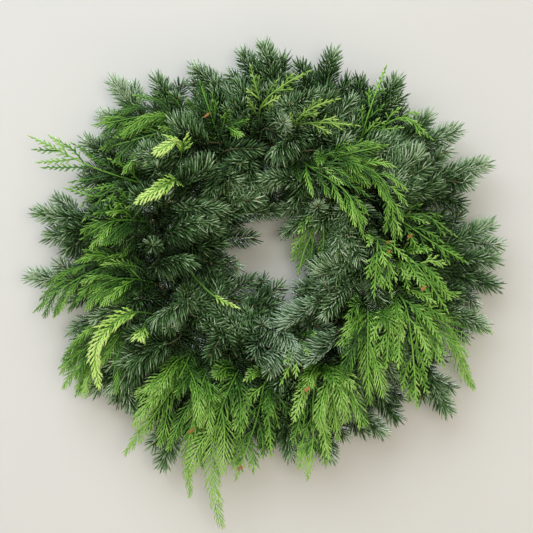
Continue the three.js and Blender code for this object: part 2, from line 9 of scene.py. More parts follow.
import bpy
import numpy as np
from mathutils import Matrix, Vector


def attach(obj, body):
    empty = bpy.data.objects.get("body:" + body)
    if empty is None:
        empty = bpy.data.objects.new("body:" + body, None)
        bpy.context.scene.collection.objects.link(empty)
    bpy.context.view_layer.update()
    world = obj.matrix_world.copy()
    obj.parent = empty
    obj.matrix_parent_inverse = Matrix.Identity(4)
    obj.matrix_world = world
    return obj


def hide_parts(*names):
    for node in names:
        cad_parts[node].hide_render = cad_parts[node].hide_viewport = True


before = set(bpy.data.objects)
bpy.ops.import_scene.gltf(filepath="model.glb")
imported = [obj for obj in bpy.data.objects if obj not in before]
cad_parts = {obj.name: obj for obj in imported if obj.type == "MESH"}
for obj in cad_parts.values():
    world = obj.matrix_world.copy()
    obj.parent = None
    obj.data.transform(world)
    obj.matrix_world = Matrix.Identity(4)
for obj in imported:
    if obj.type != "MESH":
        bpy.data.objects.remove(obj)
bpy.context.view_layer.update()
MM = 0.001

# ---- the wreath's own sizes, in millimetres, as in the part's source ----
RING_RADIUS = 152.0
RING_WIRE = 4.0
SLOTS = 60                                     # places for stems, evenly round the ring
SLOT_ANGLE = 360 / SLOTS
STEM_RUN = 5.5                                 # degrees that a stem lies along the ring
FORK_ANGLE = 0.85
FORK_STEP = 9.0
RING_DROP = RING_WIRE / 2 - RING_RADIUS        # the ring's middle hangs this far below the origin
SEATS = {"outer": (6.8, -1.0), "front": (3.8, -7.4), "face": (-3.8, -7.4), "inner": (-6.8, -1.0)}
WALL_BACK = 12.0                               # needles are pressed flat where they meet the wall
FRONT_REACH = -106.0                           # and nothing stands further out than this
MOST_FORWARD = -84.0                           # where a stem that comes forward begins to level out
LEVELS_WITHIN = 10.0                           # and the most that it still comes forward from there
BUNDLE_MIDDLE = RING_RADIUS + 8.0              # the foliage is a round bundle along this circle
BUNDLE_HALF = 118.0                            # its half-width, and how far forward it stands
BUNDLE_EDGE = -26.0                            # at its edges
BUNDLE_ROUND = 52.0                            # and how much more over its middle
HOLE_MIDDLE = np.array([5.0, 0.0, 4.0])
HOLE_CLEAR = 66.0                              # unnamed twigs keep their tips this far from it
BODY_REACH = 246.0                             # and no further out from the ring's middle than this
FRONT = np.array([0.1, -1.0, 0.2]) / np.linalg.norm([0.1, -1.0, 0.2])
DOWN = np.array([0.0, 0.0, -1.0])

# ---- layout: name, slot on the ring, seat, then strands of (share of the first strand, points) ----
FIR = [
    ("fir_upper_left", 22, "outer", (0, (-150, -18, 158), (-203, -34, 228)),
     (0.5, (-218, -24, 186)), (0.45, (-132, -24, 190), (-146, -32, 233))),
    ("fir_left_high", 25, "outer", (0, (-180, -18, 108), (-239, -34, 150)),
     (0.45, (-244, -26, 100))),
    ("fir_left_middle", 29, "outer", (0, (-215, -20, 40), (-303, -38, 56)),
     (0.5, (-291, -26, 25)), (0.4, (-265, -20, 6))),
    ("fir_left_low", 32, "outer", (0, (-230, -18, -38), (-312, -36, -29)),
     (0.4, (-228, -24, -85), (-255, -36, -130))),
    ("fir_lower_left", 36, "outer", (0, (-165, -18, -122), (-231, -34, -178)),
     (0.5, (-200, -26, -191))),
    ("fir_bottom_left", 39, "outer", (0, (-118, -20, -205), (-139, -36, -276)),
     (0.4, (-179, -28, -199))),
    ("fir_bottom_middle_left", 42, "outer", (0, (-66, -18, -200), (-88, -36, -264)),
     (0.5, (-49, -28, -268))),
    ("fir_bottom_middle", 45, "outer", (0, (20, -18, -200), (30, -34, -263)),
     (0.45, (-1, -28, -252))),
    ("fir_bottom_middle_right", 48, "outer", (0, (68, -18, -200), (81, -36, -268)),
     (0.4, (112, -24, -208), (150, -34, -234))),
    ("fir_bottom_right", 51, "outer", (0, (130, -20, -165), (169, -38, -214)),
     (0.45, (128, -32, -202))),
    ("fir_lower_right", 52, "outer", (0, (186, -22, -130), (237, -38, -204)),
     (0.5, (204, -28, -182))),
    ("fir_right_low", 57, "outer", (0, (215, -20, -66), (283, -40, -92)),
     (0.4, (252, -30, -46))),
    ("fir_right_middle", 1, "outer", (0, (210, -20, -2), (299, -38, -6)),
     (0.45, (302, -26, -40)), (0.5, (296, -28, 40))),
    ("fir_right_high", 3, "outer", (0, (206, -20, 94), (287, -38, 120)),
     (0.45, (257, -26, 68))),
    ("fir_upper_right", 6, "outer", (0, (178, -20, 134), (248, -36, 165)),
     (0.45, (212, -28, 184))),
    ("fir_top_right", 9, "outer", (0, (140, -20, 178), (170, -36, 231)),
     (0.4, (122, -28, 230))),
    ("fir_top_middle_right", 12, "outer", (0, (70, -20, 200), (86, -38, 266)),
     (0.45, (44, -26, 252))),
    ("fir_top_middle", 15, "outer", (0, (12, -20, 208), (-5, -38, 276)),
     (0.45, (-32, -28, 266))),
    ("fir_top_left", 18, "outer", (0, (-52, -20, 208), (-95, -36, 246)),
     (0.35, (-43, -44, 200))),
    ("fir_inner_top_left", 20, "inner", (0, (-52, -56, 138), (-13, -62, 139)),
     (0.35, (-88, -60, 122), (-108, -62, 112))),
    ("fir_inner_top_right", 11, "inner", (0, (62, -50, 138), (29, -56, 134)),
     (0.4, (100, -60, 130))),
    ("fir_inner_top", 17, "inner", (0, (-8, -48, 134), (23, -52, 113)),
     (0.35, (-5, -62, 166), (16, -70, 156))),
    ("fir_inner_left_high", 26, "inner", (0, (-78, -54, 62), (0, -58, 94)),
     (0.5, (13, -44, 58))),
    ("fir_inner_left", 30, "inner", (0, (-84, -46, 20), (-20, -40, 23)),
     (0.45, (-42, -50, -17))),
    ("fir_inner_right_high", 5, "inner", (0, (84, -48, 76), (20, -44, 60)),
     (0.4, (66, -62, 40)), (0.55, (24, -34, 30))),
    ("fir_inner_right", 59, "inner", (0, (118, -56, 34), (95, -62, 4)),
     (0.5, (107, -58, -56))),
    ("fir_inner_lower_left", 35, "inner", (0, (-92, -54, -84), (-58, -58, -88)),
     (0.4, (-108, -66, -48)), (0.6, (-22, -44, -34))),
    ("fir_inner_bottom", 41, "inner", (0, (-36, -52, -84), (16, -46, -42)),
     (0.5, (-75, -68, -130))),
    ("fir_inner_lower_right", 55, "inner", (0, (96, -50, -48), (42, -46, -43)),
     (0.5, (76, -78, -42)), (0.3, (32, -56, -82))),
    ("fir_front_bottom", 44, "inner", (0, (24, -44, -106), (3, -78, -150)),
     (0.5, (60, -74, -112))),
]
CEDAR = [
    ("cedar_upper_left", 21, "front", (0, (-122, -44, 182), (-229, -48, 172)),
     (0.35, (-218, -58, 139))),
    ("cedar_left_high", 24, "front", (0, (-218, -46, 111), (-313, -46, 156)),
     (0.4, (-222, -42, 78), (-267, -40, 88))),
    ("cedar_left_middle", 27, "front", (0, (-205, -58, 44), (-243, -56, 22)), (0.3, (-192, -66, 84))),
    ("cedar_left_low", 31, "front", (0, (-204, -48, -12), (-270, -50, -43), (-308, -44, -74)),
     (0.3, (-239, -58, 6))),
    ("cedar_left_olive", 33, "face", (0, (-198, -62, -32), (-247, -62, -57)), (0.4, (-200, -74, -60))),
    ("cedar_lower_left", 34, "front", (0, (-205, -46, -98), (-274, -46, -148)),
     (0.5, (-238, -46, -140), (-254, -42, -185))),
    ("cedar_bottom_left_outer", 38, "front", (0, (-114, -56, -156), (-153, -60, -215), (-187, -54, -260)),
     (0.3, (-130, -70, -160), (-169, -72, -183))),
    ("cedar_bottom_left", 40, "front", (0, (-86, -56, -168), (-105, -58, -254), (-103, -50, -316)),
     (0.3, (-72, -76, -186))),
    ("cedar_longest", 43, "front", (0, (-44, -60, -162), (-62, -66, -204), (-72, -66, -254),
     (-73, -60, -293), (-61, -48, -358))),
    ("cedar_bottom", 46, "front", (0, (-4, -56, -168), (-13, -58, -208), (-25, -56, -247), (-42, -50, -294)),
     (0.35, (14, -50, -225))),
    ("cedar_bottom_drop", 47, "face", (0, (42, -62, -112), (38, -84, -124), (17, -86, -165))),
    ("cedar_bottom_right", 49, "front", (0, (64, -58, -154), (59, -62, -189), (59, -60, -241),
     (52, -52, -294))),
    ("cedar_bottom_right_fall", 50, "front", (0, (82, -70, -160), (91, -68, -238)),
     (0.3, (101, -78, -163), (100, -78, -215))),
    ("cedar_lower_right_fall", 56, "face", (0, (130, -74, -84), (129, -78, -137), (133, -68, -192)),
     (0.3, (112, -86, -104))),
    ("cedar_lower_right", 58, "front", (0, (178, -66, -62), (187, -68, -111), (195, -58, -198)),
     (0.3, (158, -78, -95), (153, -80, -144)), (0.4, (207, -64, -104), (231, -56, -146))),
    ("cedar_right_back", 54, "front", (0, (198, -42, -78), (243, -44, -98), (256, -40, -137),
     (274, -32, -177))),
    ("cedar_right", 0, "front", (0, (182, -62, -2), (205, -68, -28), (234, -64, -73)),
     (0.35, (182, -76, -42)), (0.55, (230, -74, -42))),
    ("cedar_right_drop", 2, "face", (0, (142, -78, 14), (137, -84, -52)), (0.4, (160, -80, -52))),
    ("cedar_right_high", 4, "front", (0, (180, -50, 42), (211, -54, 20), (261, -48, -9)),
     (0.35, (205, -42, 54), (248, -40, 26))),
    ("cedar_upper_right_fall", 14, "face", (0, (58, -70, 112), (103, -86, 78), (124, -80, 22)),
     (0.4, (128, -86, 112), (154, -86, 86), (164, -78, 16))),
    ("cedar_upper_right", 10, "front", (0, (88, -72, 128), (152, -76, 142)), (0.4, (143, -82, 100))),
    ("cedar_top_right_yellow", 13, "front", (0, (40, -54, 180), (65, -58, 196), (91, -58, 204)),
     (0.4, (80, -52, 174), (117, -54, 170))),
    ("cedar_top_yellow", 16, "front", (0, (-8, -50, 198), (22, -56, 224), (53, -54, 241)),
     (0.5, (-23, -48, 248))),
    ("cedar_top_left", 19, "front", (0, (-74, -46, 180), (-90, -44, 228)), (0.35, (-28, -64, 176))),
    ("cedar_top_right", 7, "front", (0, (136, -46, 196), (156, -42, 248)),
     (0.4, (180, -46, 182), (216, -42, 155))),
    ("cedar_in_the_hole", 8, "inner", (0, (72, -38, 52), (50, -30, 10), (41, -24, -24))),
    ("lime_upper_left", 23, "face", (0, (-124, -88, 94), (-169, -92, 68)),
     (0.3, (-112, -90, 146), (-146, -92, 132))),
    ("lime_lower_left", 37, "face", (0, (-180, -78, -76), (-222, -78, -117), (-221, -68, -172)),
     (0.35, (-166, -88, -108))),
    # too small for a solid of its own
    ("lime_small", 28, "inner", (0, (-72, -74, -52), (-40, -82, -68))),
]

# more twigs of fir on the front: x and z of the root and of the tip, about the ring's middle
FRONT_TWIGS = [
    (57, -87, 101, -118), (-8, -91, 42, -118), (0, -95, -18, -125), (139, -9, 140, -68),
    (122, 78, 160, 43), (152, 84, 205, 113), (-88, -84, -205, -143), (-130, -20, -186, 6),
    (-120, 30, -178, 24), (-140, 60, -196, 44), (-150, 96, -206, 112), (-128, 118, -178, 146),
    (-170, -60, -226, -84), (110, -130, 150, -170), (126, -96, 176, -128), (-100, 60, -150, 40),
    (-96, 10, -150, -20), (-92, 168, -86, 206), (-110, -60, -160, -40), (-60, -110, -110, -150),
    (96, 40, 120, -6), (60, 120, 104, 150), (-60, 150, -100, 190), (20, 150, 54, 186), (110, 120, 150, 150),
    (88, 52, 94, 2), (52, 96, 92, 84), (-196, -158, -176, -206), (-134, -206, -128, -262),
    (116, 70, 148, 26), (128, 30, 156, -12),
]
# and behind those, low on the bundle, where the wire ring would show
LOW_TWIGS = [
    (-150, 52, -88, 104), (-128, 108, -98, 62), (-152, -14, -108, -44), (-162, -52, -118, -92),
    (40, -112, 96, -128), (-62, -122, -8, -142), (64, -104, 114, -82), (-112, -84, -62, -112),
    (-84, 38, -36, 48), (92, 22, 62, -12), (-104, 156, -74, 136), (-144, 92, -112, 70),
    (96, -30, 60, -34), (20, -120, 60, -100), (44, -142, 100, -124), (-54, -146, 14, -146),
    (-30, -136, 30, -140), (116, 96, 76, 66), (60, 118, 98, 90), (128, 76, 152, 30),
    (150, 76, 138, 34), (176, 40, 200, 10), (186, -30, 204, -60), (52, -166, 66, -196),
    (-70, 176, -96, 196), (196, 14, 180, 44), (190, -62, 210, -30), (-24, -206, -4, -240),
    (14, 222, 20, 262), (88, 200, 106, 232), (-134, -98, -94, -122),
]
# tips of fir that point at the viewer: x and z
FACING_TWIGS = [(-8, -39), (-7, -94), (75, -42), (-92, 34), (66, 60), (-128, -96), (20, 168), (-150, 10)]
# plump sprigs in front of all else, whose needles all sweep to one side: which side, and how light
SWEPT_TWIGS = [
    (78, -52, 22, -90, -1, 0.48), (-26, -138, 32, -124, -1, 0.46), (-8, -88, 34, -116, -1, 0.5),
    (98, -96, 54, -136, -1, 0.38), (104, -14, 66, -22, -1, 0.5), (-120, 92, -76, 112, 1, 0.3),
    (-116, -108, -176, -142, 1, 0.26), (-158, -140, -206, -176, 1, 0.3), (-100, -60, -146, -84, 1, 0.34),
    (-134, 22, -92, 44, -1, 0.24), (-150, -16, -104, -6, -1, 0.24), (40, 152, 8, 132, 1, 0.36),
    (150, 108, 196, 128, 1, 0.42), (-84, 150, -120, 168, -1, 0.34),
]
# bunches whose needles in front show their silvery bands, and painted shade by bunch: how much darker a
# bunch is drawn, with painted light where the number is below nought
SILVERED = {"fir_front_bottom", "fir_inner_lower_right", "fir_inner_bottom"}
PAINTED_BUNCH_SHADE_AND_LIGHT = {
    "fir_inner_left": 0.16, "fir_inner_left_high": 0.12, "fir_inner_lower_left": 0.1, "fir_left_low": 0.1,
    "fir_lower_left": 0.1, "fir_left_middle": 0.06, "fir_bottom_left": 0.06, "fir_upper_right": 0.05,
    "fir_right_high": 0.05, "fir_top_middle_right": -0.06, "fir_top_left": -0.06, "fir_top_middle": -0.08,
}
FILLING_TWIGS = 10                             # in each bunch of fir, besides those named here
STANDING_TWIGS = 4                             # and these stand out from its front, each its own way

# cedar sprays whose width isn't the usual one, as a share of it
SLIM = {
    "cedar_top_right": 0.7, "cedar_bottom_drop": 0.8, "cedar_right_drop": 0.85, "cedar_top_yellow": 0.72,
    "cedar_top_right_yellow": 0.72, "cedar_longest": 0.78, "cedar_left_high": 0.9, "cedar_left_low": 0.85,
    "cedar_bottom_left": 0.85, "cedar_upper_right_fall": 0.66, "cedar_upper_right": 0.9,
    "cedar_right_high": 0.78, "cedar_bottom": 1.1, "cedar_bottom_right": 1.32, "lime_small": 0.36,
}
# and those whose green is deeper, or paler, by how much
DEEPER = {
    "cedar_in_the_hole": -0.1, "cedar_bottom": 0.03, "cedar_bottom_right": -0.06, "cedar_right": 0.03,
    "cedar_lower_right": -0.03, "cedar_lower_right_fall": 0.02, "cedar_bottom_left": 0.02,
    "cedar_right_drop": 0.04,
}
# where the tiny cones sit: x and z
CONES = [(188, 32), (153, 20), (155, 8), (57, -170), (-34, -283), (-109, -69), (-79, 182), (196, -40),
         (-100, -230)]


# ---- lines that stems and ribs follow ----
def unit(vectors):
    """Vectors divided by their lengths."""
    return vectors / np.maximum(np.linalg.norm(vectors, axis=-1, keepdims=True), 1e-9)


def smooth_line(points, steps=24):
    """Centripetal Catmull-Rom curve: a cubic between each two points, whose slopes come from the four
    points round it, spaced by the square root of their distances. Each end repeats its last step."""
    points = np.asarray(points, float)
    held = np.vstack([2 * points[0] - points[1], points, 2 * points[-1] - points[-2]])
    gaps = np.maximum(np.linalg.norm(np.diff(held, axis=0), axis=1), 1e-6) ** 0.5
    before, here, after = gaps[:-2, None], gaps[1:-1, None], gaps[2:, None]
    p0, p1, p2, p3 = held[:-3], held[1:-2], held[2:-1], held[3:]
    leave = ((p1 - p0) / before - (p2 - p0) / (before + here) + (p2 - p1) / here) * here
    arrive = ((p2 - p1) / here - (p3 - p1) / (here + after) + (p3 - p2) / after) * here
    t = np.linspace(0, 1, steps, endpoint=False)[None, :, None]
    p1, p2, leave, arrive = (v[:, None] for v in (p1, p2, leave, arrive))
    curve = (p1 * (1 + 2 * t) * (1 - t) ** 2 + leave * t * (1 - t) ** 2
             + p2 * t ** 2 * (3 - 2 * t) - arrive * t ** 2 * (1 - t))
    return np.vstack([curve.reshape(-1, 3), points[-1:]])


class Strand:
    """A smooth line with its length, and its frame at any distance along it: the middle, the way
    forward, the way out to the wreath's front, and the side that is square to both."""

    def __init__(self, points, seed):
        self.path = smooth_line(points)
        over = np.maximum(MOST_FORWARD - self.path[:, 1], 0)
        still = LEVELS_WITHIN * np.tanh(over / LEVELS_WITHIN)
        self.path[:, 1] = np.maximum(self.path[:, 1], MOST_FORWARD) - still
        steps = np.linalg.norm(np.diff(self.path, axis=0), axis=1)
        self.run = np.concatenate([[0.0], np.cumsum(steps)])
        self.length = self.run[-1]
        self.slope = unit(np.gradient(self.path, axis=0))
        self.draw = np.random.default_rng(seed)

    def at(self, along):
        along = np.asarray(along, float)
        middle = np.stack([np.interp(along, self.run, self.path[:, k]) for k in range(3)], -1)
        forward = unit(np.stack([np.interp(along, self.run, self.slope[:, k]) for k in range(3)], -1))
        out = unit(FRONT - (forward @ FRONT)[..., None] * forward)
        return middle, forward, out, np.cross(out, forward)


def ring_point(degrees, outward, back):
    """A place on the ring, moved outward and back from its middle line."""
    angle = math.radians(degrees)
    reach = RING_RADIUS + outward
    return np.array([reach * math.cos(angle), back, reach * math.sin(angle)])


def plan_strands(spray, number):
    """A spray's strands, as in the part's source: the first one lies along the ring before it
    leaves, and each other one leaves the first at the fork angle."""
    slot, seat = spray[1], spray[2]
    strands = []
    for index, (share, *points) in enumerate(spray[3:]):
        goal = np.array(points[0], float)
        if index == 0:
            home = ring_point(slot * SLOT_ANGLE, *SEATS[seat])
            turn = np.sign(home[0] * goal[2] - home[2] * goal[0]) or 1.0
            roots = [ring_point(slot * SLOT_ANGLE - turn * STEM_RUN, *SEATS[seat]), home]
        else:
            middle, forward, _, side = strands[0].at(share * strands[0].length)
            turn = np.sign(side @ (goal - middle)) or 1.0
            knee = middle + FORK_STEP * (forward * math.cos(FORK_ANGLE) + turn * side * math.sin(FORK_ANGLE))
            roots = [middle, knee]
        strands.append(Strand([*roots, *np.array(points, float)], [number, index]))
    return strands


CEDAR_SEED = 100                               # keeps the cedar's draws apart from the fir's
SPRAY_HALF_WIDTH = 30.0
UNDER_CEDAR = 20.0
# every cedar rib past its first fifth, which stands clear of the ring
COVER = np.concatenate([
    strand.path[len(strand.path) // 5:]
    for number, spray in enumerate(CEDAR) for strand in plan_strands(spray, number + CEDAR_SEED)])


def under_cedar(strand):
    """Sinks a fir strand where it would run in front of a cedar rib: fully at the rib, and less with
    distance, down to nothing at the edge of the spray and at the strand's own root."""
    away = np.hypot(*(strand.path[:, None, k] - COVER[None, :, k] for k in (0, 2)))
    nearest = np.argmin(away, axis=1)
    share = np.clip(1.25 - away.min(axis=1) / SPRAY_HALF_WIDTH, 0, 1)
    share = share * share * (3 - 2 * share) * np.linspace(0, 1, len(share)) ** 0.3
    deep = COVER[nearest, 1] + UNDER_CEDAR
    strand.path[:, 1] += share * np.maximum(deep - strand.path[:, 1], 0)
    return strand


# ---- closed shapes gathered into one mesh ----
NEEDLE, BARK, BUD, SILVER = 0, 1, 2, 3


class Surface:
    """Closed shapes gathered as arrays. Each vertex keeps its growth: how light its own needle or
    scale is, how far along it is, and how far from its ridge to its rim."""

    def __init__(self):
        self.points, self.faces, self.growth, self.finish = [], [], [], []
        self.count = 0

    def add(self, points, faces, growth, finish):
        self.points.append(points)
        self.faces.append(faces + self.count)
        self.growth.append(growth)
        self.finish.append(np.full(len(faces), finish))
        self.count += len(points)

    def blades(self, lines, across, wide, thick, tone, finish, corners=3):
        """Blades along lines (blade, station, xyz): at each station but the last a ring of corners
        lies across and square to the line, the first corner on the ridge, and the last is a point."""
        blades, stations = lines.shape[:2]
        rings = stations - 1
        forward = unit(np.gradient(lines, axis=1))
        ridge = unit(np.cross(forward, across[:, None, :]))
        across = np.cross(ridge, forward)
        angle = math.pi / 2 + np.arange(corners) * 2 * math.pi / corners
        sideways = np.cos(angle)[None, None, :, None] * across[:, :-1, None, :] * wide[..., None, None]
        upward = np.sin(angle)[None, None, :, None] * ridge[:, :-1, None, :] * thick[..., None, None]
        ring = (lines[:, :-1, None, :] + sideways + upward).reshape(blades, rings * corners, 3)
        points = np.concatenate([ring, lines[:, -1:, :]], axis=1)
        corner = np.arange(corners)
        beside = (corner + 1) % corners
        low = (np.arange(rings - 1)[:, None] * corners + corner).ravel()
        low_beside = (np.arange(rings - 1)[:, None] * corners + beside).ravel()
        last = (rings - 1) * corners
        tip = np.full(corners, rings * corners)
        cap = np.arange(1, corners - 1)
        faces = np.vstack([
            np.stack([low, low_beside, low_beside + corners], 1),
            np.stack([low, low_beside + corners, low + corners], 1),
            np.stack([last + corner, last + beside, tip], 1),
            np.stack([np.zeros_like(cap), cap + 1, cap], 1),
        ])
        size = rings * corners + 1
        share = np.append(np.repeat(np.linspace(0, 1, stations)[:-1], corners), 1.0)
        rim = np.append(np.tile(np.where(corner == 0, 0.0, 1.0), rings), 0.5)
        growth = np.stack([
            np.repeat(tone, size), np.tile(share, blades), np.tile(rim, blades), np.ones(blades * size)], 1)
        starts = (np.arange(blades) * size)[:, None, None]
        self.add(points.reshape(-1, 3), (faces[None] + starts).reshape(-1, 3), growth, finish)

    def ovoids(self, middle, axis, across, long, wide, tone, finish):
        """Egg shapes: a ring of six corners at three places along the axis, and a point at each end."""
        share = np.array([-1.0, -0.6, 0.1, 0.7, 1.0])
        lines = middle[:, None, :] + share[None, :, None] * long[:, None, None] * axis[:, None, :]
        swell = np.array([0.02, 0.75, 1.0, 0.55])[None, :] * wide[:, None]
        self.blades(lines, across, swell, swell, tone, finish, corners=6)

    def piece(self, name, node, finishes):
        """Presses what stands behind the wall or too far forward flat, and makes the mesh."""
        points = np.concatenate(self.points)
        points[:, 1] = np.clip(points[:, 1], FRONT_REACH, WALL_BACK)
        points = (points + [0, 0, RING_DROP]) * MM
        faces = np.concatenate(self.faces)
        mesh = bpy.data.meshes.new(name)
        mesh.vertices.add(len(points))
        mesh.vertices.foreach_set("co", points.ravel())
        mesh.loops.add(faces.size)
        mesh.loops.foreach_set("vertex_index", faces.ravel().astype(np.int32))
        mesh.polygons.add(len(faces))
        mesh.polygons.foreach_set("loop_start", np.arange(0, faces.size, 3, dtype=np.int32))
        for material in finishes:
            mesh.materials.append(material)
        mesh.polygons.foreach_set("material_index", np.concatenate(self.finish).astype(np.int32))
        growth = mesh.attributes.new("growth", "FLOAT_COLOR", "POINT")
        growth.data.foreach_set("color", np.concatenate(self.growth).ravel())
        mesh.update(calc_edges=True)
        made = bpy.data.objects.new(name, mesh)
        bpy.context.scene.collection.objects.link(made)
        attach(made, "root")
        if node:
            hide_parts(node)
        return made


# ---- fir ----
GOLDEN_ANGLE = math.pi * (3 - math.sqrt(5))
NEEDLE_LENGTH = 17.6
FRONT_LENGTH = 0.87 * NEEDLE_LENGTH            # of the needles inside and on the front
NEEDLE_WIDTH = 2.1
NEEDLE_THICK = 1.1
NEEDLES_PER_MM = 2.1
NEEDLE_LEAN = 76.0                             # degrees from its twig
LEAN_IN_FRONT = 18.0                           # and how much less on the front
LEAN_AT_TIP = 44.0                             # and at the twig's tip
NEEDLE_BEND = 0.44                             # forward, as a share of its length
TWIG_RADIUS = 1.4
# where the rings of a needle lie along it and how wide they are: a fine one, and one that is half hidden
NEEDLE_SHAPES = {True: ([0.0, 0.4, 0.82, 1.0], [0.5, 1.0, 0.82]), False: ([0.0, 0.58, 1.0], [0.7, 1.05])}
# how needles stand: the pull to the front and to the sides, how crowded, and the sweep to one side
ALL_ROUND = (0.45, 0.15, 1.0, 0.0)
BUSHY = (0.45, 0.15, 1.42, 0.0)
PARTED = (-0.3, 0.36, 0.8, 0.0)
PARTED_SHARE = 0.6                             # of the twigs in front are parted, like a comb
SWEEP = 0.55                                   # of a swept needle's length
SIDE_STEP = (20, 28)                           # between side twigs
SIDE_LENGTH = 58.0                             # of a side twig at its strand's root
SIDE_SHORTER = 28.0                            # and how much less at the tip
NO_SIDE_TWIGS = 36.0                           # this near the tip


def stem(surface, strand, root, tip, tone, finish, start=0.0, stop=None, flat=1.0):
    """A tapered stem of six sides along a strand, its half-width falling evenly from root to tip, and
    its thickness a share of its width."""
    stop = strand.length if stop is None else stop
    stations = max(4, int((stop - start) / 9))
    middle, _, _, side = strand.at(np.linspace(start, stop, stations))
    radius = np.linspace(root, tip, stations)[None, :-1]
    surface.blades(middle[None], side[:1], radius, radius * flat, np.array([tone]), finish, corners=6)


def needles(surface, strand, start, length, tone, fine=True, finish=NEEDLE, manner=ALL_ROUND):
    """Needles round a twig, each turned by the golden angle from the one before. Its line is a
    parabola: it leaves at the lean angle and bends forward and out to the light, or to one side.
    A needle is lighter at the tip, as new growth. It is drawn lighter in front and at the wreath's rim, most
    so on its left, as painted light, and darker the deeper it is sunk in the bundle, as painted shade."""
    draw = strand.draw
    frontward, sideward, crowd, sweep = manner
    count = int((strand.length - start) * NEEDLES_PER_MM * crowd)
    order = np.arange(count)
    along = start + (order + draw.random(count)) / count * (strand.length - start)
    around = order * GOLDEN_ANGLE + draw.normal(0, 0.1, count)
    around = around + frontward * np.cos(around) - sideward * np.sin(2 * around)
    middle, forward, out, side = strand.at(along)
    facing = np.sin(around)
    tipward = np.clip((along - strand.length) / 16 + 1, 0, 1)
    lean = np.radians(NEEDLE_LEAN - LEAN_IN_FRONT * facing ** 2 - LEAN_AT_TIP * tipward ** 2)
    lean = lean + draw.normal(0, 0.05, count)
    footward = np.clip((along - start) / 10, 0.6, 1)
    reach = length * footward * (1 - 0.26 * np.maximum(facing, 0) - 0.22 * tipward)
    reach = reach * draw.uniform(0.9, 1.06, count)
    radial = side * np.cos(around)[:, None] + out * facing[:, None]
    direction = forward * np.cos(lean)[:, None] + radial * np.sin(lean)[:, None]
    across = unit(np.cross(out, direction) + draw.normal(0, 0.14, (count, 3)))
    stations, shape = np.array(NEEDLE_SHAPES[fine][0]), np.array(NEEDLE_SHAPES[fine][1])
    t = stations[None, :, None]
    bend = forward * NEEDLE_BEND + out * draw.uniform(0.0, 0.16, (count, 1)) + side * sweep
    lines = (middle + 0.8 * radial)[:, None, :] + reach[:, None, None] * (
        t * direction[:, None, :] + t ** 2 * bend[:, None, :])
    wide = NEEDLE_WIDTH / 2 * shape[None, :] * draw.uniform(0.85, 1.15, (count, 1))
    thick = NEEDLE_THICK / 2 * shape[None, :] * np.ones((count, 1))
    # painted shade: tone falls the deeper a needle sits in the bundle; painted light: it rises for needles
    # facing the front and on the rim, more on the left
    sunk = np.clip((middle[:, 1] - front_of_body(middle[:, 0], middle[:, 2])) / 60, -0.2, 1)
    outward = np.clip((np.hypot(middle[:, 0], middle[:, 2]) - 205) / 70, 0, 1)
    painted_rim_light = 0.11 - 0.05 * np.tanh(middle[:, 0] / 80)
    own = tone + draw.normal(0.01, 0.19, count) + 0.1 * tipward + 0.1 * facing + painted_rim_light * outward - 0.5 * sunk
    surface.blades(lines, across, wide, thick, np.clip(own, 0, 1), finish)


def buds(surface, strand):
    """Three brown buds at a twig's tip, the middle one the longest."""
    middle, forward, _, side = strand.at(np.full(3, strand.length))
    spread = side * np.array([[0.0], [1.1], [-1.1]]) + forward * np.array([[1.2], [0.0], [0.0]])
    long = np.array([2.1, 1.3, 1.3])
    surface.ovoids(middle + spread, forward, side, long, long * 0.6, np.full(3, 0.5), BUD)


def front_of_body(x, z):
    """How far forward the foliage stands at a place: the round of the bundle, most over the ring."""
    off_ring = (np.hypot(x, z) - BUNDLE_MIDDLE) / BUNDLE_HALF
    return BUNDLE_EDGE - BUNDLE_ROUND * np.sqrt(np.maximum(0.0, 1 - off_ring ** 2))


def twig(surface, strand, start, length, tone, root=TWIG_RADIUS, fine=True, finish=NEEDLE, manner=ALL_ROUND):
    """A twig: its stem, its needles from the given start on, and its buds."""
    stem(surface, strand, root, 0.7, tone, BARK)
    needles(surface, strand, start, length, tone, fine, finish, manner)
    buds(surface, strand)


def side_strand(parent, along, turn, angle, length, rise, seed, sag=0.0):
    """A strand that leaves another at an angle, turns back to 0.6 of it halfway, and may sag."""
    middle, forward, out, side = parent.at(along)
    sideways = side * turn * math.cos(rise) + out * math.sin(rise)
    leave = forward * math.cos(angle) + sideways * math.sin(angle)
    arrive = forward * math.cos(angle * 0.6) + sideways * math.sin(angle * 0.6)
    half = middle + leave * length * 0.45
    end = half + arrive * length * 0.55 + DOWN * sag * length
    return Strand([middle, half, end], seed)


def bound_twig(home, end, seed):
    """A strand from a place on the bundle to an end, out towards the body's front on its way."""
    half = (home + end) / 2
    half[1] = 0.5 * half[1] + 0.5 * front_of_body(half[0], half[2]) * min(1.0, end[1] / -40)
    return under_cedar(Strand([home, half, end], seed))


def front_twig(home, x0, z0, x1, z1, rise, seed):
    """A strand from the bundle up to a root on the body's front, then along the front to a tip."""
    root = np.array([x0, front_of_body(x0, z0) * 0.72, z0])
    end = np.array([x1, front_of_body(x1, z1) - rise, z1])
    return Strand([home, root, (root + end) / 2 + [0, -3, 0], end], seed)


def filling_ends(slot, inward, count, draw):
    """Ends for the bunch's unnamed twigs, fanned left and right of the way straight out or in."""
    ends = []
    for order in range(count):
        angle = math.radians(slot * SLOT_ANGLE) + draw.uniform(-0.3, 0.3)
        out = np.array([math.cos(angle), 0.0, math.sin(angle)])
        if inward:
            away = unit(RING_RADIUS * out - HOLE_MIDDLE)
            end = HOLE_MIDDLE + away * draw.uniform(HOLE_CLEAR, HOLE_CLEAR + 34)
        else:
            end = out * draw.uniform(BODY_REACH - 50, BODY_REACH)
        end[1] = front_of_body(end[0], end[2]) * ((order + draw.random()) / count) ** 0.7
        ends.append(end)
    return ends


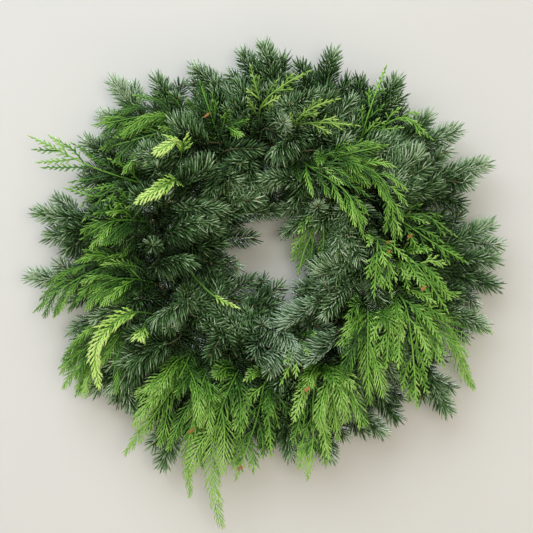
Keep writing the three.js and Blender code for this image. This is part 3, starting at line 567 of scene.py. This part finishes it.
def nearest_bunch(x, z):
    """The number of the fir bunch whose slot is nearest to a place, on its side of the ring."""
    slot = math.degrees(math.atan2(z, x)) / SLOT_ANGLE
    inward = math.hypot(x, z) < RING_RADIUS
    turns = [abs((spray[1] - slot + SLOTS / 2) % SLOTS - SLOTS / 2)
             + (SLOTS if (spray[2] == "inner") != inward else 0) for spray in FIR]
    return int(np.argmin(turns))


def own_rows(rows, number):
    """The rows, with their order, whose place lies nearest to a bunch."""
    return [(order, row) for order, row in enumerate(rows) if nearest_bunch(*row[:2]) == number]


def fir_piece(spray, number, finishes):
    """A bound bunch of fir: its named strands with side twigs left and right, the front twigs that
    lie nearest to it, and the unnamed twigs that fill the bunch and stand out from its front."""
    surface = Surface()
    draw = np.random.default_rng([7, number])
    name, slot, seat = spray[:3]
    inward = seat == "inner"
    home = ring_point(slot * SLOT_ANGLE, *SEATS[seat])
    bunch_tone = draw.uniform(0.3, 0.46) if inward else draw.uniform(0.36, 0.52)
    # painted shade darkens some bunches, and painted light lightens the top ones
    bunch_tone -= PAINTED_BUNCH_SHADE_AND_LIGHT.get(name, 0)
    front_finish = SILVER if name in SILVERED else NEEDLE
    for index, strand in enumerate(plan_strands(spray, number)):
        tone = bunch_tone + draw.normal(0, 0.07)
        parted = PARTED if draw.random() < PARTED_SHARE else ALL_ROUND
        start, radius = (12.0, 2.2) if index == 0 else (4.0, 1.5)
        twig(surface, strand, start, FRONT_LENGTH if inward else NEEDLE_LENGTH, tone, radius,
             manner=parted if inward else BUSHY)
        along, turn = 0.28 * strand.length, 1
        while along < strand.length - NO_SIDE_TWIGS:
            length = (SIDE_LENGTH - SIDE_SHORTER * along / strand.length) * draw.uniform(0.8, 1.15)
            child = under_cedar(side_strand(strand, along, turn, draw.uniform(0.7, 0.95), length,
                                            draw.normal(0.0, 0.35), [number, index, int(along)]))
            if np.linalg.norm((child.path[-1] - HOLE_MIDDLE)[[0, 2]]) > HOLE_CLEAR:
                twig(surface, child, 3.0, FRONT_LENGTH, tone + draw.normal(0, 0.05), manner=parted)
            along += draw.uniform(*SIDE_STEP)
            turn = -turn
    for order, ends in own_rows(FRONT_TWIGS, number):
        strand = under_cedar(front_twig(home, *ends, 4, [number, 50 + order]))
        # painted light: the twigs on the front are drawn a little lighter than their bunch
        twig(surface, strand, 0.25 * strand.length, FRONT_LENGTH, bunch_tone + draw.normal(0.06, 0.07),
             finish=front_finish, manner=PARTED if draw.random() < PARTED_SHARE else ALL_ROUND)
    for order, (*ends, way, tone) in own_rows(SWEPT_TWIGS, number):
        strand = front_twig(home, *ends, 10, [number, 70 + order])
        twig(surface, strand, strand.length - 56, NEEDLE_LENGTH, tone, finish=front_finish,
             manner=(*BUSHY[:3], SWEEP * way))
    for order, (x0, z0, x1, z1) in own_rows(LOW_TWIGS, number):
        strand = Strand([home, (x0, -22, z0), (x1, -27, z1)], [number, 150 + order])
        # painted shade: the low twigs, deep on the bundle, are drawn darker
        twig(surface, strand, 0.15 * strand.length, NEEDLE_LENGTH, bunch_tone - 0.1, fine=False)
    for order, (x, z) in own_rows(FACING_TWIGS, number):
        front = front_of_body(x, z)
        points = [home, (x * 0.97, front * 0.5, z * 0.97), (x, front - 12, z + 3)]
        strand = Strand(points, [number, 80 + order])
        # painted highlight: the tips that point at the viewer are drawn lighter
        twig(surface, strand, 0.45 * strand.length, FRONT_LENGTH, bunch_tone + 0.12, finish=front_finish)
    for order, end in enumerate(filling_ends(slot, inward, FILLING_TWIGS, draw)):
        strand = bound_twig(home, end, [number, 100 + order])
        # painted shade: the filling twigs, deep in the bunch, are drawn darker
        tone = bunch_tone + draw.normal(-0.08, 0.07)
        twig(surface, strand, 0.2 * strand.length, NEEDLE_LENGTH, tone, fine=False)
    for order in range(STANDING_TWIGS):
        angle = math.radians(slot * SLOT_ANGLE) + draw.uniform(-0.2, 0.2)
        reach = draw.uniform(-52, -14) if inward else draw.uniform(-12, 48)
        x0, z0 = (RING_RADIUS + reach) * math.cos(angle), (RING_RADIUS + reach) * math.sin(angle)
        way = angle + (math.pi if inward else 0.0) + draw.uniform(-1.3, 1.3)
        step = draw.uniform(34, 62)
        x1, z1 = x0 + step * math.cos(way), z0 + step * math.sin(way)
        if math.hypot(x1 - HOLE_MIDDLE[0], z1 - HOLE_MIDDLE[2]) > HOLE_CLEAR + 6:
            rise = draw.uniform(-14, 4)
            strand = under_cedar(front_twig(home, x0, z0, x1, z1, rise, [number, 200 + order]))
            tone = bunch_tone + draw.normal(0, 0.09)
            twig(surface, strand, 0.35 * strand.length, FRONT_LENGTH, tone, fine=False)
    return surface.piece(name + "_branch", name, finishes)


# ---- cedar ----
SCALE_THICK = 1.2
SCALE_SHAPES = {True: ([0.0, 0.35, 0.78, 1.0], [0.7, 1.0, 0.85]), False: ([0.0, 0.6, 1.0], [0.8, 1.0])}
RIBS = []                                      # every rib that is made, for the cones
# how a kind of spray grows, in millimetres and degrees, and its green: "reach", "step", "acute" and
# "width" are its branchlets, "lobe" and so on the lobes along them, "child_step" and "sag" its fronds,
# "taper" how fast they shorten, and "forked" the share of a rib that carries them where they are long
LACE = {
    "tone": 0.54, "reach": 18.5, "step": 3.9, "acute": 36, "width": 2.3, "droop": 0.07, "lobes": 4,
    "lobe_step": 3.8, "lobe": 6.5, "lobe_acute": 29, "sag": 0.16, "child_step": (12, 17), "taper": 0.44,
}
DARK_PLUME = {
    "tone": 0.41, "reach": 21.0, "step": 3.0, "acute": 30, "width": 1.8, "droop": 0.14, "lobes": 3,
    "lobe_step": 4.8, "lobe": 6.5, "lobe_acute": 20, "sag": 0.26, "child_step": (8, 12), "taper": 0.6,
}
PLUME = {
    "tone": 0.46, "reach": 23.0, "step": 3.3, "acute": 31, "width": 1.9, "droop": 0.14, "lobes": 3,
    "lobe_step": 5.4, "lobe": 7.5, "lobe_acute": 18, "sag": 0.2, "child_step": (9, 13), "taper": 0.6,
}
SPARSE = {
    "tone": 0.54, "reach": 14.0, "step": 3.8, "acute": 35, "width": 2.1, "droop": 0.02, "lobes": 4,
    "lobe_step": 2.8, "lobe": 4.2, "lobe_acute": 28, "sag": 0.08, "child_step": (11, 15), "taper": 0.6,
}
FEATHER = {
    "tone": 0.6, "reach": 31.0, "step": 3.4, "acute": 31, "width": 1.9, "droop": 0.1, "lobes": 3,
    "lobe_step": 6.5, "lobe": 6.5, "lobe_acute": 19, "sag": 0.14, "child_step": (22, 30), "forked": 0.62,
}
LONG_FEATHER = {**FEATHER, "reach": 42.0, "acute": 34, "forked": 0.5}
LIME = {
    "tone": 0.5, "reach": 19.0, "step": 3.5, "acute": 34, "width": 3.0, "droop": 0.06, "lobes": 3,
    "lobe_step": 4.2, "lobe": 6.5, "lobe_acute": 24,
}
# the sprays that aren't lace
GROWN_AS = {
    **dict.fromkeys(["cedar_bottom_left_outer", "cedar_bottom_left", "cedar_bottom_right_fall",
                     "cedar_lower_right_fall", "cedar_right_back"], FEATHER),
    **dict.fromkeys(["cedar_upper_left", "cedar_left_middle", "cedar_left_low", "cedar_left_olive",
                     "cedar_lower_left", "cedar_top_left"], DARK_PLUME),
    **dict.fromkeys(["cedar_upper_right_fall", "cedar_upper_right"], PLUME),
    **dict.fromkeys(["lime_upper_left", "lime_lower_left", "lime_small"], LIME),
    "cedar_longest": LONG_FEATHER, "cedar_left_high": SPARSE,
}
YELLOWED = {"cedar_top_yellow", "cedar_top_right_yellow"}
TIP_GAIN = 0.1                                 # how much lighter a spray's tips are than its foot
LIME_GAIN = 0.5
END_FROND = 60.0                               # the frond at a rib's tip is no longer than this
LONGEST_FROND = 66.0
LONGEST_FEATHER = 92.0
LOBES_REACH = 0.78                             # of their branchlet: past it there is only its tip
CUT_END = (1.9, 1.5)                           # half-widths of a spray's bare end, at its root and tip
RIB = (1.4, 0.9)                               # and of its ribs, which are flat and darker
SMALL_RIB = (1.1, 0.8)
RIB_FLAT = 0.6
RIB_DARKER = 0.08
LIME_RIB = 0.15                                # the tone of a lime tip's rib


def scaled_lines(surface, start, leave, arch, length, normal, width, tone, fine=True):
    """Scale-covered branchlets as parabolas: each leaves its start and arches by its own amount."""
    stations, shape = SCALE_SHAPES[fine]
    t = np.array(stations)[None, :, None]
    lines = start[:, None, :] + length[:, None, None] * (t * leave[:, None, :] + t ** 2 * arch[:, None, :])
    across = unit(np.cross(normal, leave))
    shape = np.array(shape)[None, :] * np.ones((len(start), 1))
    surface.blades(lines, across, width / 2 * shape, SCALE_THICK / 2 * shape, tone, NEEDLE)


def frond(surface, strand, bare, habit, tone, scale, gain):
    """A flat frond: branchlets leave the rib left and right in turn, longest a third of the way along. Each
    carries shorter lobes left and right of it, which shorten to its tip, and one more branchlet ends the
    rib. Tones grow by the gain to the tip, and fall with depth in the bundle as painted shade."""
    draw = strand.draw
    step, width = habit["step"], habit["width"]
    count = max(3, int((strand.length - bare) / step))
    order = np.arange(count)
    along = bare + (order + 0.5 + draw.uniform(-0.15, 0.15, count)) / count * (strand.length - bare - 2)
    share = (along - bare) / (strand.length - bare)
    turn = np.where(order % 2 == 0, 1.0, -1.0)
    middle, forward, out, side = strand.at(along)
    angle = np.radians(habit["acute"] - 8 * share + draw.normal(0, 2.5, count))
    swell = np.sin(np.pi * np.clip(0.28 + 0.72 * share, 0, 1)) ** 0.9
    length = scale * habit["reach"] * (0.26 + 0.74 * swell)
    length = length * draw.uniform(0.8, 1.15, count)
    sideways = side * turn[:, None]
    leave = forward * np.cos(angle)[:, None] + sideways * np.sin(angle)[:, None]
    arch = forward * 0.1 - out * draw.uniform(-0.04, 0.2, (count, 1)) + habit["droop"] * DOWN
    # painted shade: the tone falls the deeper a branchlet sits in the bundle
    sunk = np.clip((middle[:, 1] - front_of_body(middle[:, 0], middle[:, 2])) / 50, -0.3, 1)
    own = tone + draw.normal(0, 0.13, count) + gain * share - 0.48 * sunk
    scaled_lines(surface, middle, leave, arch, length, out, width, np.clip(own, 0, 1))
    place = np.arange(habit["lobes"])
    from_foot = (place[None, :] + 0.9) * habit["lobe_step"] / length[:, None]
    keep = from_foot < LOBES_REACH
    t = from_foot[..., None]
    start = middle[:, None] + length[:, None, None] * (t * leave[:, None] + t ** 2 * arch[:, None])
    along_way = unit(leave[:, None] + 2 * t * arch[:, None])
    across = np.cross(out[:, None], along_way)
    other = np.where(place % 2 == 0, -1.0, 1.0)[None, :] * turn[:, None]
    small = np.radians(habit["lobe_acute"] + draw.normal(0, 4, keep.shape))
    direction = along_way * np.cos(small)[..., None] + across * (other * np.sin(small))[..., None]
    short = np.clip(0.55 * length[:, None] * (1 - from_foot), 2.6, habit["lobe"])
    short = short * draw.uniform(0.8, 1.15, keep.shape)
    lift = np.broadcast_to(out[:, None], direction.shape)
    tones = np.clip(own[:, None] - 0.03 + draw.normal(0, 0.07, keep.shape), 0, 1)
    scaled_lines(surface, start[keep], direction[keep], along_way[keep] * 0.15 - lift[keep] * 0.06,
                 short[keep], lift[keep], width * 0.92, tones[keep], fine=False)
    end_middle, end_forward, end_out, _ = strand.at(np.array([strand.length - 3.0]))
    scaled_lines(surface, end_middle, end_forward, -end_out * 0.05, np.array([9.0]), end_out, width,
                 np.array([min(1.0, tone + gain + 0.12)]))


def cedar_piece(spray, number, finishes):
    """A cedar spray: its strands, each a rib with smaller fronds left and right. In lace and plumes
    the fronds are short and spread, in a feather they are long, narrow and hang, and a lime tip is
    one frond at the end of each strand."""
    surface = Surface()
    draw = np.random.default_rng([11, number])
    name = spray[0]
    habit = GROWN_AS.get(name, LACE)
    lime = habit is LIME
    feathery = "forked" in habit
    tone = habit["tone"] - DEEPER.get(name, 0)
    gain = LIME_GAIN if lime else TIP_GAIN
    slim = SLIM.get(name, 1.0)
    for index, strand in enumerate(plan_strands(spray, number + CEDAR_SEED)):
        RIBS.append(strand)
        bare = (14.0 if feathery else 26.0) if index == 0 else 6.0
        if index == 0:
            stem(surface, strand, *CUT_END, tone, BARK, stop=bare + 14)
        green = LIME_RIB if lime else tone - RIB_DARKER
        stem(surface, strand, *RIB, green, NEEDLE, start=bare, flat=RIB_FLAT)
        if lime:
            foot = max(bare, (1 - 0.55 * slim) * strand.length)
            frond(surface, strand, foot, habit, tone, 1.2 * slim, gain)
            continue
        if feathery:
            frond(surface, strand, bare, habit, tone, slim, gain)
            last = habit["forked"] * strand.length
        else:
            foot = max(bare, strand.length - END_FROND)
            frond(surface, strand, foot, habit, tone, 0.76 * min(slim, 1.0), gain)
            last = strand.length - max(30, 34 * slim)
        along, turn = bare + 2.0, 1
        while along < last:
            share = (along - bare) / (strand.length - bare)
            left = strand.length - along
            own = tone + draw.normal(0, 0.17)
            if feathery:
                length = slim * min(LONGEST_FEATHER, 0.5 * left + 22) * draw.uniform(0.8, 1.1)
                angle = draw.uniform(0.4, 0.62)
            else:
                length = min(slim, 1.06) * min(LONGEST_FROND, habit["taper"] * left + 10)
                length = length * draw.uniform(0.85, 1.1)
                angle = draw.uniform(0.42, 0.62)
            child = side_strand(strand, along, turn, angle, length, draw.normal(0.0, 0.22),
                                [number, index, int(along)], habit["sag"])
            frond(surface, child, 5.0, habit, own, slim * (0.85 - 0.2 * share), gain)
            stem(surface, child, *SMALL_RIB, own - RIB_DARKER, NEEDLE, flat=RIB_FLAT)
            RIBS.append(child)
            along += draw.uniform(*habit["child_step"])
            turn = -turn
    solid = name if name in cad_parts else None
    return surface.piece(name + "_spray", solid, finishes)


def cones_piece(ribs, finishes):
    """The tiny cones: egg shapes in pairs on the front of the ribs that pass nearest their places."""
    surface = Surface()
    paths = np.concatenate([rib.path for rib in ribs])
    draw = np.random.default_rng(5)
    for x, z in CONES:
        near = np.hypot(paths[:, 0] - x, paths[:, 2] - z)
        close = np.flatnonzero(near < near.min() + 3.0)
        place = paths[close[np.argmin(paths[close, 1])]]
        axis = unit(draw.normal(0, 1, (2, 3)) * [1, 0.4, 0.5] + DOWN * 1.4)
        middle = place + np.array([[1.2, -1.6, -1.5], [-1.8, -1.4, -3.5]])
        surface.ovoids(middle, axis, np.cross(axis, FRONT), np.array([3.9, 3.2]), np.array([1.9, 1.6]),
                       np.full(2, 0.5), 0)
    return surface.piece("cedar_cones", None, finishes)


# ---- materials ----
def linear(hex_colour):
    """An sRGB hex value as linear red, green, blue and full alpha."""
    parts = np.array([hex_colour >> 16 & 255, hex_colour >> 8 & 255, hex_colour & 255]) / 255
    low = parts / 12.92
    high = ((parts + 0.055) / 1.055) ** 2.4
    return (*np.where(parts <= 0.04045, low, high).tolist(), 1.0)


def node(tree, kind, settings=None, stops=(), **inputs):
    """Adds a node with its settings, and its colour stops of (place, hex colour). Each input is set, or
    linked to a socket or a node's first output; _0 stands for the first input."""
    made = tree.nodes.new(kind)
    for key, value in (settings or {}).items():
        setattr(made, key, value)
    if stops:
        elements = made.color_ramp.elements
        while len(elements) < len(stops):
            elements.new(0.5)
        for element, (place, colour) in zip(elements, stops):
            element.position = place
            element.color = linear(colour)
    for key, value in inputs.items():
        socket = made.inputs[int(key[1:])] if key[0] == "_" else made.inputs[key.replace("_", " ")]
        if isinstance(value, bpy.types.Node):
            value = value.outputs[0]
        if isinstance(value, bpy.types.NodeSocket):
            tree.links.new(value, socket)
        else:
            socket.default_value = value
    return made


def begin(name):
    """A material, its empty tree, and the place on the object that its patterns follow."""
    material = bpy.data.materials.new(name)
    material.use_nodes = True
    tree = material.node_tree
    tree.nodes.clear()
    return material, tree, node(tree, "ShaderNodeTexCoord").outputs["Object"]


def finished(material, **inputs):
    """Gives a material its surface shader with these inputs."""
    shader = node(material.node_tree, "ShaderNodeBsdfPrincipled", **inputs)
    node(material.node_tree, "ShaderNodeOutputMaterial", Surface=shader)
    return material


def per_metre(size):
    """The scale of a pattern whose patches are this many millimetres across."""
    return 1000.0 / size


MULTIPLY_ADD = {"operation": "MULTIPLY_ADD"}
WAX_PATCH = 71.4                               # mm across, as wide as a few twigs
WEAR_PATCH = 5.56                              # a rubbed place on a wire
PAINT_PATCH = 500.0                            # one reach of the paint roller
SCREED_PATCH = 333.0                           # one sweep of the trowel


def leaf_material(name, stops, roughness, speckle, band):
    """A waxy leaf: each needle or scale has its own tone, it is paler to its tip, partly as new growth and
    partly as painted shade at its foot, its rim is paler than its ridge, and the wax makes soft patches over
    the plant. Its fine speckle, in mm, makes the sheen uneven; real grains of wax are a few hundredths of a
    mm, so it is drawn coarser, to show at all."""
    material, tree, place = begin(name)
    growth = node(tree, "ShaderNodeAttribute", {"attribute_name": "growth"})
    parts = node(tree, "ShaderNodeSeparateColor", Color=growth.outputs["Color"]).outputs
    patch = node(tree, "ShaderNodeTexNoise", Vector=place, Scale=per_metre(WAX_PATCH), Detail=3.0)
    drift = node(tree, "ShaderNodeMath", MULTIPLY_ADD, _0=patch, _1=0.5, _2=-0.38)
    tone = node(tree, "ShaderNodeMath", {"operation": "ADD"}, _0=parts[0], _1=drift)
    # paler to the tip: partly new growth, partly painted shade at the foot
    tip_growth_and_foot_shade = node(tree, "ShaderNodeMath", MULTIPLY_ADD, _0=parts[1], _1=0.5, _2=tone)
    rimmed = node(tree, "ShaderNodeMath", MULTIPLY_ADD, _0=parts[2], _1=band, _2=tip_growth_and_foot_shade)
    colour = node(tree, "ShaderNodeValToRGB", stops=stops, _0=rimmed)
    grain = node(tree, "ShaderNodeTexNoise", Vector=place, Scale=per_metre(speckle), Detail=2.0)
    rough = node(tree, "ShaderNodeMath", MULTIPLY_ADD, _0=grain, _1=0.25, _2=roughness - 0.12)
    bump = node(tree, "ShaderNodeBump", Height=grain, Strength=0.25, Distance=0.0003)
    return finished(material, Base_Color=colour, Roughness=rough, Normal=bump, IOR=1.42)


def bark_material(name, dark, light, streak):
    """Thin bark or dry scales: streaks of two browns, so many mm across, rough and dull."""
    material, tree, place = begin(name)
    grain = node(tree, "ShaderNodeTexNoise", Vector=place, Scale=per_metre(streak), Detail=4.0)
    colour = node(tree, "ShaderNodeValToRGB", stops=[(0.3, dark), (0.7, light)], _0=grain)
    bump = node(tree, "ShaderNodeBump", Height=grain, Strength=0.5, Distance=0.0005)
    return finished(material, Base_Color=colour, Roughness=0.75, Normal=bump)


def coated_wire(name, colour):
    """Steel wire in a thin green plastic coat: a smooth, even, slightly glossy skin, a little paler
    where it is rubbed."""
    material, tree, place = begin(name)
    wear = node(tree, "ShaderNodeTexNoise", Vector=place, Scale=per_metre(WEAR_PATCH), Detail=3.0)
    coat = node(tree, "ShaderNodeValToRGB", stops=[(0.35, colour), (0.8, 0x556b52)], _0=wear)
    return finished(material, Base_Color=coat, Roughness=0.38)


def wall_material():
    """Matt emulsion paint on plaster, warm white and faintly uneven; seen only from its front."""
    material, tree, place = begin("matt_wall_paint")
    mottle = node(tree, "ShaderNodeTexNoise", Vector=place, Scale=per_metre(PAINT_PATCH), Detail=2.0)
    colour = node(tree, "ShaderNodeValToRGB", stops=[(0.3, 0xd2d1ce), (0.7, 0xd7d6d3)], _0=mottle)
    paint = node(tree, "ShaderNodeBsdfPrincipled", Base_Color=colour, Roughness=0.85)
    clear = node(tree, "ShaderNodeBsdfTransparent")
    behind = node(tree, "ShaderNodeNewGeometry").outputs["Backfacing"]
    shown = node(tree, "ShaderNodeMixShader", _0=behind, _1=paint, _2=clear)
    node(tree, "ShaderNodeOutputMaterial", Surface=shown)
    return material


def floor_material():
    """Pale sealed screed, plain and matt, with a faint mottle."""
    material, tree, place = begin("pale_sealed_screed")
    mottle = node(tree, "ShaderNodeTexNoise", Vector=place, Scale=per_metre(SCREED_PATCH), Detail=3.0)
    colour = node(tree, "ShaderNodeValToRGB", stops=[(0.3, 0xcdc4b6), (0.7, 0xd4ccbf)], _0=mottle)
    return finished(material, Base_Color=colour, Roughness=0.7)


# greens from the deep shade at a needle's foot to its lit tip
FIR_STOPS = [(0.0, 0x0a1706), (0.3, 0x233f17), (0.55, 0x446a34), (0.8, 0x7a9d69), (1.0, 0xb4caa6)]
SILVER_STOPS = [(0.0, 0x0d1d10), (0.3, 0x2a4a2a), (0.55, 0x507449), (0.8, 0x86a780), (1.0, 0xb8d0b4)]
CEDAR_STOPS = [(0.0, 0x0f2408), (0.3, 0x2d5814), (0.55, 0x56892a), (0.8, 0x80b345), (1.0, 0xa3cc68)]
OLIVE_STOPS = [(0.0, 0x1b2e0a), (0.3, 0x41651b), (0.55, 0x6a9333), (0.8, 0x94ba50), (1.0, 0xbcd777)]
LIME_STOPS = [(0.0, 0x1d3310), (0.3, 0x4c7a26), (0.6, 0x97c551), (0.85, 0xb3d86c), (1.0, 0xc9e684)]

# blue-green wax on dark green needles; the silvered ones show the pale bands of their undersides
fir_needle = leaf_material("fir_needle_waxy_cuticle", FIR_STOPS, 0.42, 1.11, 0.12)
silvered_needle = leaf_material("fir_needle_silvered_bands", SILVER_STOPS, 0.45, 1.11, 0.12)
# fresh bright scales, the same yellowed by the sun, and the pale, matt side that faces away from it
cedar_scale = leaf_material("cedar_scale_leaf", CEDAR_STOPS, 0.45, 1.43, 0.08)
olive_scale = leaf_material("cedar_scale_leaf_yellowed", OLIVE_STOPS, 0.45, 1.43, 0.08)
lime_scale = leaf_material("cedar_scale_leaf_underside", LIME_STOPS, 0.6, 1.43, 0.05)
# smooth young bark, bud scales dull with resin, and the dry orange-brown wood of small cones
fir_bark = bark_material("fir_twig_bark", 0x36351f, 0x66643f, 3.85)
cedar_bark = bark_material("cedar_twig_bark", 0x463a20, 0x6f6436, 3.85)
bud_scale = bark_material("resin_bud_scale", 0x54401f, 0x8c7443, 2.0)
cone_scale = bark_material("woody_cone_scale", 0x84521f, 0xbe8648, 2.38)
# the ring's thick plastic and the thinner lacquer on the binding wire: both even and a little shiny
ring_coat = coated_wire("plastic_coated_ring_wire", 0x2c3a2c)
binding_coat = coated_wire("lacquered_binding_wire", 0x24402c)

for number, spray in enumerate(FIR):
    fir_piece(spray, number, [fir_needle, fir_bark, bud_scale, silvered_needle])
for number, spray in enumerate(CEDAR):
    leaf = lime_scale if GROWN_AS.get(spray[0]) is LIME else cedar_scale
    cedar_piece(spray, number, [olive_scale if spray[0] in YELLOWED else leaf, cedar_bark, bud_scale])
cones_piece(RIBS, [cone_scale])
for name, coat in (("ring_frame", ring_coat), ("binding_wire", binding_coat)):
    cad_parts[name].data.materials.clear()
    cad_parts[name].data.materials.append(coat)

# ---- wall, floor, light and camera ----
VIEW_WIDTH = 0.705           # metres across the picture at the middle of the wreath's depth
VIEW_MIDDLE = (-0.002, -0.045, -0.1654)
CAMERA_AWAY = 1.65
AIM = (0, 0, -0.2)           # where the lights point
WALL_PLACE = 0.016
WALL_SIDE = 3.0
WALL_TOP = 2.2
FLOOR_PLACE = -1.3


def plane(name, corners, material):
    """A flat stage sheet through four corners."""
    mesh = bpy.data.meshes.new(name)
    mesh.from_pydata(corners, [], [(0, 1, 2, 3)])
    mesh.materials.append(material)
    made = bpy.data.objects.new(name, mesh)
    bpy.context.scene.collection.objects.link(made)
    return made


def area_light(name, place, size, power, colour):
    """A soft square light aimed at the wreath."""
    lamp = bpy.data.lights.new(name, "AREA")
    lamp.size = size
    lamp.energy = power
    lamp.color = linear(colour)[:3]
    made = bpy.data.objects.new(name, lamp)
    made.location = place
    made.rotation_euler = (Vector(AIM) - Vector(place)).to_track_quat("-Z", "Y").to_euler()
    bpy.context.scene.collection.objects.link(made)
    return made


wall = plane("wall", [(-WALL_SIDE, WALL_PLACE, FLOOR_PLACE), (WALL_SIDE, WALL_PLACE, FLOOR_PLACE),
                      (WALL_SIDE, WALL_PLACE, WALL_TOP), (-WALL_SIDE, WALL_PLACE, WALL_TOP)],
             wall_material())
plane("floor", [(-WALL_SIDE, -WALL_SIDE, FLOOR_PLACE), (WALL_SIDE, -WALL_SIDE, FLOOR_PLACE),
                (WALL_SIDE, WALL_SIDE, FLOOR_PLACE), (-WALL_SIDE, WALL_SIDE, FLOOR_PLACE)],
      floor_material())
area_light("window", (-0.8, -1.8, 1.6), 2.6, 65, 0xe9f3ff)
area_light("room", (0.5, -2.5, -0.1), 0.9, 18, 0xfff4e6)
# a faint light for a look from behind, which passes the wall
behind = area_light("behind", (0.6, 2.2, 0.9), 1.6, 80, 0xf2f7ff)
passed = bpy.data.collections.new("passed_by_the_light_behind")
passed.objects.link(wall)
passed.collection_objects[0].light_linking.link_state = "EXCLUDE"
behind.light_linking.blocker_collection = passed

world = bpy.data.worlds.new("pale_room")
world.use_nodes = True
backdrop = world.node_tree.nodes["Background"]
backdrop.inputs["Color"].default_value = linear(0xf4efdf)
backdrop.inputs["Strength"].default_value = 0.48
bpy.context.scene.world = world

lens = bpy.data.cameras.new("camera")
lens.sensor_width = 36.0
lens.lens = lens.sensor_width * CAMERA_AWAY / VIEW_WIDTH
lens.clip_start, lens.clip_end = 0.05, 20.0
camera = bpy.data.objects.new("camera", lens)
camera.location = (VIEW_MIDDLE[0], VIEW_MIDDLE[1] - CAMERA_AWAY, VIEW_MIDDLE[2])
camera.rotation_euler = (math.pi / 2, 0, 0)
bpy.context.scene.collection.objects.link(camera)
bpy.context.scene.camera = camera
bpy.context.scene.view_settings.view_transform = "Standard"
